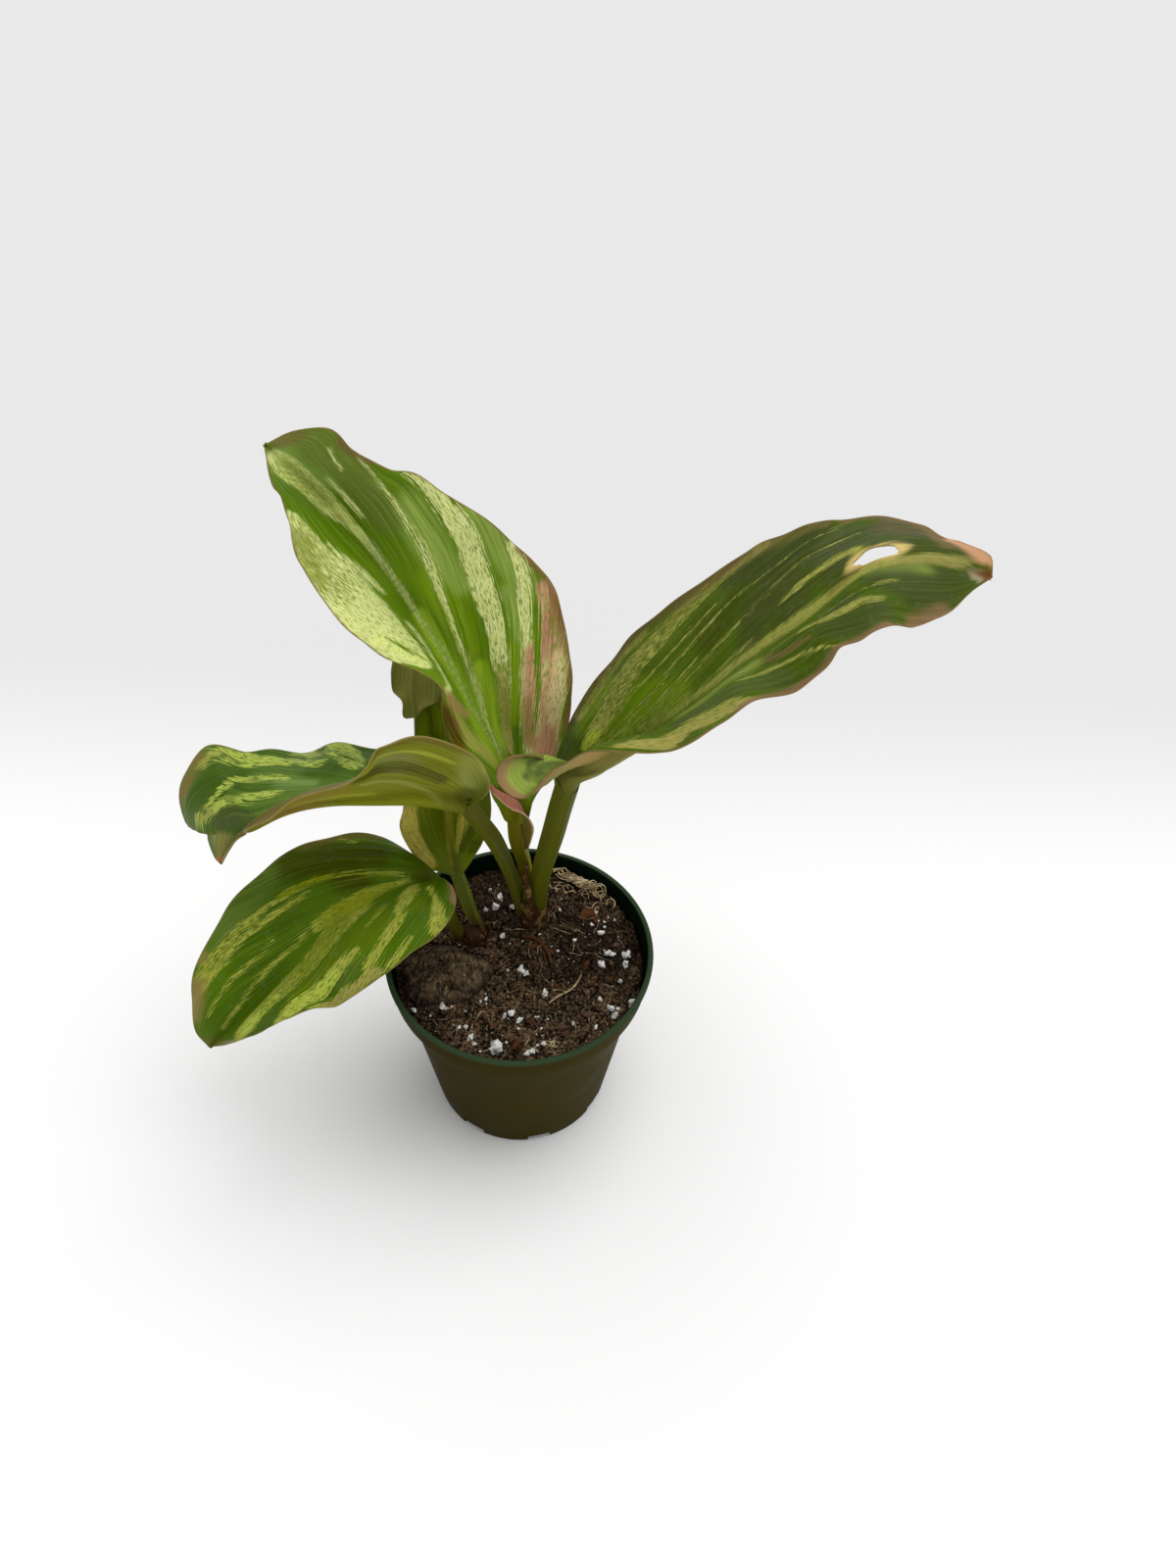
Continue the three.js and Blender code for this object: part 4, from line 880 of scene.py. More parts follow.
# Millimetres, as the solids have them: the stalk from foot to blade, then [share, x, y, z] along the
# rib and both margins. veins are the slope and the bend of the side veins.
LEAVES = {
    "leaf_tall": {
        "stalk": [(3, 25.6, 85), (1.4, 25.4, 97), (-0.4, 24, 112), (-2.8, 21.5, 127), (-3.1, 19.2, 140)],
        "radii": (2, 2.6), "foot_across": (1, 0.1, 0), "blade_across": (1, -0.15, -0.1), "camber": 3,
        "rib": [(0, -3.1, 19.2, 140), (0.05, -2.8, 16.4, 159), (0.12, -8, 17, 178), (0.28, -17, 20, 196),
                (0.42, -27, 25, 216), (0.56, -38, 30, 233), (0.7, -50, 34, 252), (0.85, -64, 36, 271),
                (1, -77, 34, 286)],
        "left": [(0.02, -6.6, 16.5, 145), (0.035, -8.2, 14, 154), (0.05, -9.8, 11.5, 161),
                 (0.07, -10.7, 8.5, 170), (0.095, -11.1, 5.5, 180), (0.14, -17, 2, 191),
                 (0.2, -22, 1, 199), (0.26, -24, 1, 211), (0.32, -24, 2, 221), (0.38, -30, 3, 226),
                 (0.44, -39, 4, 229), (0.5, -46, 5, 234), (0.58, -55, 7, 242), (0.66, -62, 11, 251),
                 (0.72, -67, 15, 259), (0.78, -69, 19, 267), (0.84, -71, 23, 273), (0.9, -74, 26, 277),
                 (0.95, -76, 30, 281)],
        "right": [(0.02, 2.6, 17.5, 144), (0.035, 4.6, 15, 157), (0.05, 9, 13.5, 168),
                  (0.065, 12.9, 12.5, 178), (0.085, 16, 13, 189), (0.115, 17.5, 15, 201),
                  (0.2, 17.5, 17, 215), (0.28, 16, 21, 227), (0.35, 13, 26, 237), (0.41, 9, 30.5, 244.5),
                  (0.46, 3.7, 31, 251), (0.54, -5, 31.5, 259.5), (0.6, -11.6, 30.5, 266.5),
                  (0.68, -22.5, 30.5, 273.5), (0.74, -31.5, 31.5, 279.5), (0.8, -40.4, 32.6, 280.6),
                  (0.88, -50.4, 32.4, 286.4), (0.94, -57.3, 34, 292), (0.98, -68.5, 34.5, 290.4)],
        "veins": (0.58, 0.3, 0.12),
        "lap": [(-10.3, 8.4, 173.5, -10.4, 8.9, 169), (-8.6, 8.5, 170, -8.6, 7.5, 167),
                (-6.2, 9, 167.3, -6.2, 8, 163), (-3.5, 9.5, 165, -2.9, 9, 158.5),
                (-0.8, 11.5, 160.5, -0.1, 10, 156), (0.8, 15, 152, 2, 11, 153.5),
                (0.2, 18, 144.5, 3.6, 12.5, 149.5), (-0.3, 20.8, 135.2, 4.8, 14.5, 142.5),
                (0.3, 22.2, 128, 3.8, 18, 133.2), (1, 23.5, 121, 2.2, 21.5, 123.5)],
    },
    "leaf_right": {
        "stalk": [(4.6, 21.4, 85), (4.6, 20.8, 96), (5.6, 19.4, 112), (8.5, 17.3, 131),
                  (10.8, 15.2, 145), (13.2, 12.6, 161), (15.3, 10, 174)],
        "radii": (3.1, 4), "foot_across": (-0.7, -0.7, 0), "blade_across": (-0.6, -0.75, 0),
        "camber": 2.5,
        "rib": [(0, 15.3, 10, 174), (0.05, 19.8, 8.2, 181.5), (0.1, 26, 6, 187), (0.25, 42, 0, 205),
                (0.4, 57, -5, 225), (0.55, 71, -8, 245), (0.7, 85, -10, 262), (0.82, 97, -9, 276),
                (0.88, 105, -8, 280), (0.94, 118, -5, 280), (1, 137.5, -2, 274)],
        "left": [(0.03, 14, 15.5, 178), (0.06, 14, 19, 182), (0.12, 19.7, 23.7, 195),
                 (0.19, 27.6, 27, 211), (0.25, 35.6, 27.8, 224), (0.32, 48, 27.5, 237),
                 (0.42, 64, 26, 256), (0.55, 80, 23, 269), (0.63, 89, 20, 277), (0.7, 97, 17.5, 278.5),
                 (0.78, 108, 14.5, 282.5), (0.85, 118, 12, 282), (0.91, 125, 9, 279),
                 (0.95, 130, 7, 279), (0.98, 137, 3, 278)],
        "right": [(0.02, 11.8, 6, 183.5), (0.04, 6.8, 3, 190.7), (0.06, -0.6, 1, 193),
                  (0.08, -5.8, -1, 190.5), (0.1, -6.4, -4, 185.5), (0.12, -1.2, -7, 181.8),
                  (0.14, 4, -9, 183.7), (0.165, 9, -10, 190.6), (0.19, 12.5, -9.5, 195.7),
                  (0.21, 17.9, -10, 201.4), (0.235, 24.1, -13, 209.4), (0.27, 36, -22, 219),
                  (0.34, 50.3, -29.5, 227.5), (0.42, 62.7, -31.7, 240.5), (0.48, 69.4, -31.4, 249.6),
                  (0.54, 80.6, -32.7, 254.3), (0.6, 88, -33, 262), (0.66, 90.8, -31.4, 269.6),
                  (0.74, 97, -31, 273), (0.82, 104, -29, 275), (0.9, 113.4, -24.6, 273.5),
                  (0.95, 122.7, -17.5, 272.6), (0.98, 130, -10, 274.7)],
        "veins": (0.65, 0.35, 0.12), "hole": {"share": 0.83, "across": -0.3, "length": 13, "width": 5},
    },
    "leaf_arched": {
        "stalk": [(1.2, 19.4, 85), (-0.4, 19.4, 96), (-3.1, 17.6, 113), (-7.6, 8, 142), (-12.6, 0, 162),
                  (-16, -6, 177)],
        "radii": (2, 2.8), "foot_across": (0.2, 1, 0), "blade_across": (0.3, 0.9, 0.3), "camber": 2.5,
        "rib": [(0, -16, -6, 177), (0.15, -31, -12, 185), (0.3, -46, -16.5, 188),
                (0.45, -61.5, -19.5, 188.5), (0.58, -74.5, -21.5, 185), (0.7, -87, -21, 175.7),
                (0.82, -90.5, -20, 173), (0.9, -93.6, -18.5, 169.6), (0.95, -99.6, -17, 159.6),
                (1, -105, -15, 149)],
        "left": [(0.03, -9, -11, 186), (0.06, -8, -12, 195), (0.1, -12, -14, 206), (0.18, -29, -18, 218),
                 (0.27, -39.7, -23.5, 217.5), (0.34, -44, -29.5, 212.5), (0.45, -55.6, -33, 208),
                 (0.58, -71, -34.5, 199.5), (0.7, -83, -31.5, 186.5), (0.82, -88, -27, 178.5),
                 (0.9, -93, -23, 171), (0.95, -100, -18.5, 158.7)],
        "right": [(0.04, -18, 7, 176), (0.1, -26, 14, 182), (0.2, -40, 16, 182),
                  (0.32, -53.7, 15, 180.8), (0.4, -64, 13.3, 183.3), (0.48, -74, 12.6, 180.6),
                  (0.56, -84, 10.5, 181.5), (0.66, -95, 8, 183), (0.75, -106, 5, 188),
                  (0.82, -113, 0, 181), (0.88, -118, -5, 171), (0.905, -115.5, -10, 161.6),
                  (0.92, -108, -12.5, 166.7), (0.95, -107.4, -13.5, 159.3),
                  (0.98, -106.3, -14.5, 151.8)],
        "veins": (0.6, 0.35, 0.15),
    },
    "leaf_low": {
        "stalk": [(-22.6, 8.2, 81), (-26, 7.6, 91), (-28, 6, 105), (-31, 2, 125)],
        "radii": (1.9, 2.4), "foot_across": (0.4, 0.9, 0), "blade_across": (0.3, 0.9, -0.2),
        "camber": 3.5,
        "rib": [(0, -31, 2, 125), (0.1, -38, -5, 132), (0.25, -49, -12, 133), (0.42, -65, -20, 126),
                (0.58, -81, -28, 111), (0.75, -96, -36, 96), (0.9, -108, -42, 84),
                (1, -116, -44.5, 75.5)],
        "left": [(0.04, -25, -5, 132), (0.09, -22, -13, 132), (0.16, -24, -22, 130),
                 (0.27, -32, -32, 129), (0.42, -46, -41, 122), (0.58, -61, -47.5, 112.5),
                 (0.66, -70, -49, 112), (0.75, -80, -50, 106), (0.9, -101, -48, 87)],
        "right": [(0.06, -40, 9, 131), (0.14, -53, 12.2, 137.2), (0.27, -72, 9.2, 139.2),
                  (0.42, -89, 2, 135), (0.58, -105, -9, 124), (0.75, -118, -23, 107),
                  (0.87, -122, -35, 92), (0.95, -120.3, -42, 83)],
        "veins": (0.7, 0.22, 0.15),
    },
    "leaf_rear": {
        "stalk": [(-17.6, 12.2, 81), (-20.6, 12, 90), (-23.4, 12.6, 103), (-26, 14, 114)],
        "radii": (1.9, 2.2), "foot_across": (1, 0, 0), "blade_across": (1, 0, 0), "camber": 2,
        "rib": [(0, -26, 14, 114), (0.2, -29, 18, 134), (0.4, -32, 23, 156), (0.6, -33, 30, 177),
                (0.72, -34.6, 33, 195), (0.8, -36, 33, 209), (0.9, -38.5, 25, 201.5),
                (1, -36.7, 19, 192)],
        "left": [(0.1, -37, 9.4, 124.7), (0.2, -44.6, 9.3, 141.6), (0.3, -43, 10, 154),
                 (0.42, -40, 15, 166), (0.55, -38, 21, 180), (0.68, -39.2, 29, 196),
                 (0.77, -43.5, 29, 210), (0.84, -44.3, 26, 211), (0.9, -44.5, 22, 202),
                 (0.94, -41, 20, 198.5), (0.98, -40.6, 18, 193)],
        "right": [(0.12, -15, 12, 135), (0.25, -11, 13, 153), (0.4, -13, 17, 170), (0.55, -19, 25, 184),
                  (0.68, -25, 32, 196.5), (0.78, -26.5, 31, 209.5), (0.86, -28, 27, 205),
                  (0.92, -29, 24, 196), (0.97, -34, 21, 195)],
        "veins": (0.7, 0.35, 0.15),
    },
}

# Pale stripes, each a run of (across, along, half-width in mm): across is -1 at the left margin,
# 0 at the rib and 1 at the right margin; along is 0 at the blade's base and 1 at its tip. A run of
# negative half-widths is a green streak that cuts through the pale tissue.
STRIPES = {
    "leaf_tall": [
        [(0.03, 0.1, 1.0), (0.02, 0.3, 1.0), (0.02, 0.5, 1.1), (0.035, 0.66, 1.4), (0.02, 0.74, 2.0),
         (-0.02, 0.8, 2.8), (-0.04, 0.86, 3.4), (-0.1, 0.92, 4.2), (-0.2, 0.96, 3.5)],
        [(-0.05, 0.76, 1), (-0.2, 0.83, 1.3), (-0.35, 0.89, 1.5), (-0.5, 0.93, 1.8)],
        [(-0.1, 0.77, 1.4), (-0.18, 0.82, 2.4), (-0.26, 0.9, 2.6)],
        [(-0.62, 0.44, 7.5), (-0.63, 0.5, 9.5), (-0.64, 0.57, 10.3), (-0.68, 0.64, 9.4),
         (-0.74, 0.7, 7.6), (-0.85, 0.76, 5), (-0.93, 0.8, 3)],
        [(-0.95, 0.45, 4), (-0.95, 0.55, 5), (-0.95, 0.65, 5), (-0.96, 0.75, 3)],
        [(-0.48, 0.73, 0.5), (-0.35, 0.68, 1.3), (-0.25, 0.63, 1.2), (-0.2, 0.6, 0.4)],
        [(-0.2, 0.52, 0.7), (-0.19, 0.47, 0.9), (-0.22, 0.43, 0.8), (-0.33, 0.39, 0.8),
         (-0.55, 0.34, 1.3), (-0.85, 0.315, 1.2)],
        [(0.04, 0.12, 0.7), (0.06, 0.2, 0.8), (0.1, 0.28, 1.0), (0.14, 0.35, 1.0), (0.17, 0.41, 1.0),
         (0.22, 0.47, 1.1), (0.3, 0.54, 1.5), (0.38, 0.6, 1.5), (0.48, 0.66, 1.1), (0.57, 0.72, 0.7),
         (0.75, 0.79, 0.5), (0.95, 0.86, 0.4)],
        [(0.16, 0.12, 1.6), (0.23, 0.2, 2.1), (0.35, 0.3, 3.1), (0.465, 0.4, 3.8), (0.6, 0.5, 4.2),
         (0.78, 0.6, 4.4), (0.92, 0.69, 3), (1, 0.76, 1.5)],
        [(0.4, 0.1, 2.4), (0.5, 0.2, 3.6), (0.585, 0.29, 3), (0.66, 0.35, 2.2), (0.75, 0.41, 2.4),
         (0.9, 0.46, 2.8), (0.98, 0.52, 1.5)],
        [(0.62, 0.1, 5.5), (0.75, 0.16, 6), (0.78, 0.2, 6.5), (0.87, 0.3, 5.5), (0.94, 0.4, 3.5)],
        [(0.19, 0.75, 0.4), (0.25, 0.8, 0.8), (0.31, 0.86, 0.4)],
        [(0.6, 0.86, 0.3), (0.75, 0.91, 0.4)],
        [(-0.66, 0.51, -0.5), (-0.55, 0.465, -0.8), (-0.43, 0.425, -0.5)],
        [(0.5, 0.13, -0.5), (0.6, 0.2, -0.9), (0.68, 0.27, -1.0), (0.78, 0.36, -0.8)],
    ],
    "leaf_right": [
        [(-0.25, 0.1, 1.6), (-0.35, 0.15, 3.0), (-0.48, 0.2, 4.2), (-0.6, 0.25, 4.3), (-0.71, 0.3, 4.0),
         (-0.83, 0.36, 3.6), (-0.92, 0.44, 2.8), (-0.97, 0.52, 1.8)],
        [(-0.8, 0.12, 2), (-0.88, 0.2, 2.6), (-0.9, 0.28, 2)],
        [(-0.12, 0.14, 0.4), (-0.2, 0.22, 0.4), (-0.3, 0.3, 0.4), (-0.42, 0.38, 0.5),
         (-0.54, 0.44, 0.6)],
        [(-0.1, 0.2, 0.35), (-0.15, 0.32, 0.3), (-0.25, 0.42, 0.3), (-0.35, 0.5, 0.3),
         (-0.45, 0.58, 0.25)],
        [(-0.05, 0.3, 0.3), (-0.1, 0.45, 0.3), (-0.15, 0.55, 0.3)],
        [(-0.35, 0.32, 0.3), (-0.55, 0.45, 0.35), (-0.75, 0.6, 0.3), (-0.95, 0.72, 0.3)],
        [(-0.3, 0.1, 0.5), (-0.5, 0.16, 0.6), (-0.75, 0.26, 0.5), (-0.85, 0.32, 0.35)],
        [(-0.03, 0.25, 0.8), (-0.05, 0.4, 1.2), (-0.05, 0.5, 1.4), (-0.06, 0.6, 1.8), (-0.07, 0.68, 2.2),
         (-0.08, 0.76, 2.2), (-0.1, 0.86, 2), (-0.12, 0.92, 2.6), (-0.15, 0.96, 2.5)],
        [(-0.45, 0.8, 1.2), (-0.5, 0.76, 1.6), (-0.45, 0.7, 1.2), (-0.35, 0.65, 0.8), (-0.3, 0.62, 0.4)],
        [(-0.3, 0.79, 3.4), (-0.3, 0.87, 3.4)],
        [(0.25, 0.66, 1), (0.35, 0.7, 1.4), (0.45, 0.75, 1.5), (0.5, 0.8, 1.2), (0.6, 0.84, 0.8)],
        [(0.45, 0.5, 0.8), (0.5, 0.55, 1), (0.6, 0.6, 0.8), (0.8, 0.64, 0.6), (0.95, 0.66, 0.5)],
        [(0.75, 0.27, 3), (0.78, 0.33, 4.5), (0.68, 0.37, 3.6), (0.76, 0.41, 4), (0.85, 0.45, 3.4),
         (0.97, 0.48, 1.5)],
        [(0.3, 0.28, 0.4), (0.6, 0.27, 0.5), (0.9, 0.26, 0.5)],
        [(-0.08, 0.1, 0.3), (-0.13, 0.2, 0.28), (-0.2, 0.3, 0.28), (-0.3, 0.4, 0.25)],
        [(-0.16, 0.08, 0.35), (-0.26, 0.16, 0.35), (-0.38, 0.24, 0.3), (-0.52, 0.34, 0.3),
         (-0.66, 0.43, 0.25)],
        [(-0.04, 0.14, 0.3), (-0.08, 0.26, 0.28), (-0.12, 0.38, 0.25)],
        [(-0.7, 0.14, 0.35), (-0.8, 0.22, 0.35), (-0.86, 0.32, 0.3)],
        [(0.06, 0.2, 0.3), (0.1, 0.34, 0.3), (0.14, 0.46, 0.28), (0.2, 0.56, 0.25)],
        [(0.14, 0.6, 0.35), (0.22, 0.7, 0.35), (0.28, 0.8, 0.35), (0.34, 0.88, 0.3)],
        [(-0.5, 0.58, 0.28), (-0.62, 0.66, 0.28), (-0.78, 0.75, 0.25)],
    ],
    "leaf_arched": [
        [(0.5, 0.36, 3.5), (0.7, 0.38, 5), (0.9, 0.4, 5)],
        [(0.6, 0.46, 3.5), (0.8, 0.5, 5), (0.95, 0.48, 4)],
        [(0.7, 0.54, 2.5), (0.8, 0.6, 4), (0.85, 0.66, 4), (0.88, 0.72, 3.2), (0.85, 0.78, 2)],
        [(0.25, 0.58, 1), (0.3, 0.65, 1.4), (0.33, 0.72, 1.5), (0.38, 0.8, 1.6), (0.45, 0.87, 1.8),
         (0.6, 0.885, 1.2)],
        [(0.5, 0.72, 1.5), (0.46, 0.78, 0.8), (0.5, 0.85, 0.8)],
        [(0.4, 0.55, 0.8), (0.5, 0.62, 1.2), (0.55, 0.68, 1.2), (0.52, 0.74, 0.8)],
        [(0.62, 0.42, -0.4), (0.72, 0.47, -0.7), (0.85, 0.53, -0.5)],
        [(0.75, 0.39, -0.4), (0.85, 0.43, -0.7), (0.95, 0.46, -0.4)],
        [(0.86, 0.5, -0.3), (0.9, 0.56, -0.7), (0.92, 0.62, -0.5)],
        [(0.55, 0.34, -0.3), (0.62, 0.37, -0.6), (0.7, 0.4, -0.3)],
        [(0.78, 0.66, -0.4), (0.84, 0.72, -0.6), (0.8, 0.77, -0.4)],
    ],
    "leaf_low": [
        [(-0.95, 0.2, 3), (-0.8, 0.165, 2.4), (-0.6, 0.14, 1.4), (-0.4, 0.12, 0.8)],
        [(-0.12, 0.12, 1.2), (-0.2, 0.16, 2.2), (-0.3, 0.21, 2.4), (-0.4, 0.25, 1.6), (-0.5, 0.26, 1.8),
         (-0.6, 0.31, 1.8), (-0.68, 0.36, 1.6), (-0.78, 0.42, 1.6), (-0.85, 0.45, 0.8)],
        [(-0.82, 0.28, 0.5), (-0.9, 0.33, 1), (-0.95, 0.38, 1.2)],
        [(-0.92, 0.42, 2), (-0.92, 0.5, 2.2), (-0.95, 0.6, 2.4), (-1, 0.66, 1.5)],
        [(-0.55, 0.42, 1.2), (-0.58, 0.48, 2.4), (-0.63, 0.54, 2.8), (-0.7, 0.6, 3), (-0.8, 0.68, 3.2),
         (-0.92, 0.74, 2.6), (-1, 0.78, 2)],
        [(0.07, 0.12, 0.7), (0.05, 0.2, 1.4), (0.06, 0.3, 2.2), (0.06, 0.38, 2.8), (0.08, 0.45, 2.4),
         (0.1, 0.48, 1.4)],
        [(0, 0.3, 1.5), (-0.05, 0.36, 3), (-0.08, 0.42, 4), (-0.14, 0.48, 4.4), (-0.2, 0.55, 4),
         (-0.25, 0.62, 4), (-0.32, 0.68, 4.4), (-0.38, 0.74, 4.2), (-0.48, 0.8, 3.4), (-0.62, 0.86, 2.8),
         (-0.82, 0.89, 1.8), (-1, 0.905, 1)],
        [(0.12, 0.5, 0.5), (0.135, 0.6, 0.45), (0.14, 0.7, 0.5), (0.12, 0.82, 0.5), (0.1, 0.9, 0.4)],
        [(0.31, 0.58, 0.2), (0.34, 0.68, 0.25), (0.4, 0.78, 0.3), (0.45, 0.87, 0.3)],
        [(0.13, 0.14, 0.4), (0.22, 0.2, 0.6), (0.33, 0.27, 0.8), (0.42, 0.33, 0.9), (0.5, 0.4, 1.1),
         (0.56, 0.46, 1.3), (0.6, 0.52, 1.3), (0.66, 0.6, 1.8), (0.72, 0.68, 2.2), (0.8, 0.75, 2.2),
         (0.85, 0.8, 1.8)],
        [(0.42, 0.42, 0.6), (0.48, 0.5, 1), (0.54, 0.58, 1), (0.6, 0.68, 1.4), (0.66, 0.76, 1.6),
         (0.72, 0.82, 1.4)],
        [(0.8, 0.22, 0.4), (0.92, 0.245, 0.5)],
        [(-0.35, 0.36, 0.2), (-0.28, 0.31, 0.6), (-0.22, 0.27, 0.2)],
    ],
    "leaf_rear": [
        [(-0.85, 0.1, 3.5), (-0.8, 0.16, 4.5), (-0.78, 0.22, 4.5), (-0.85, 0.3, 4), (-0.9, 0.38, 3)],
        [(-0.05, 0.05, 0.8), (-0.02, 0.1, 1.2), (0.05, 0.18, 1.6), (0.08, 0.25, 2), (0.12, 0.32, 2)],
        [(0.2, 0.12, 1.2), (0.32, 0.2, 2), (0.45, 0.27, 2.2)],
    ],
}

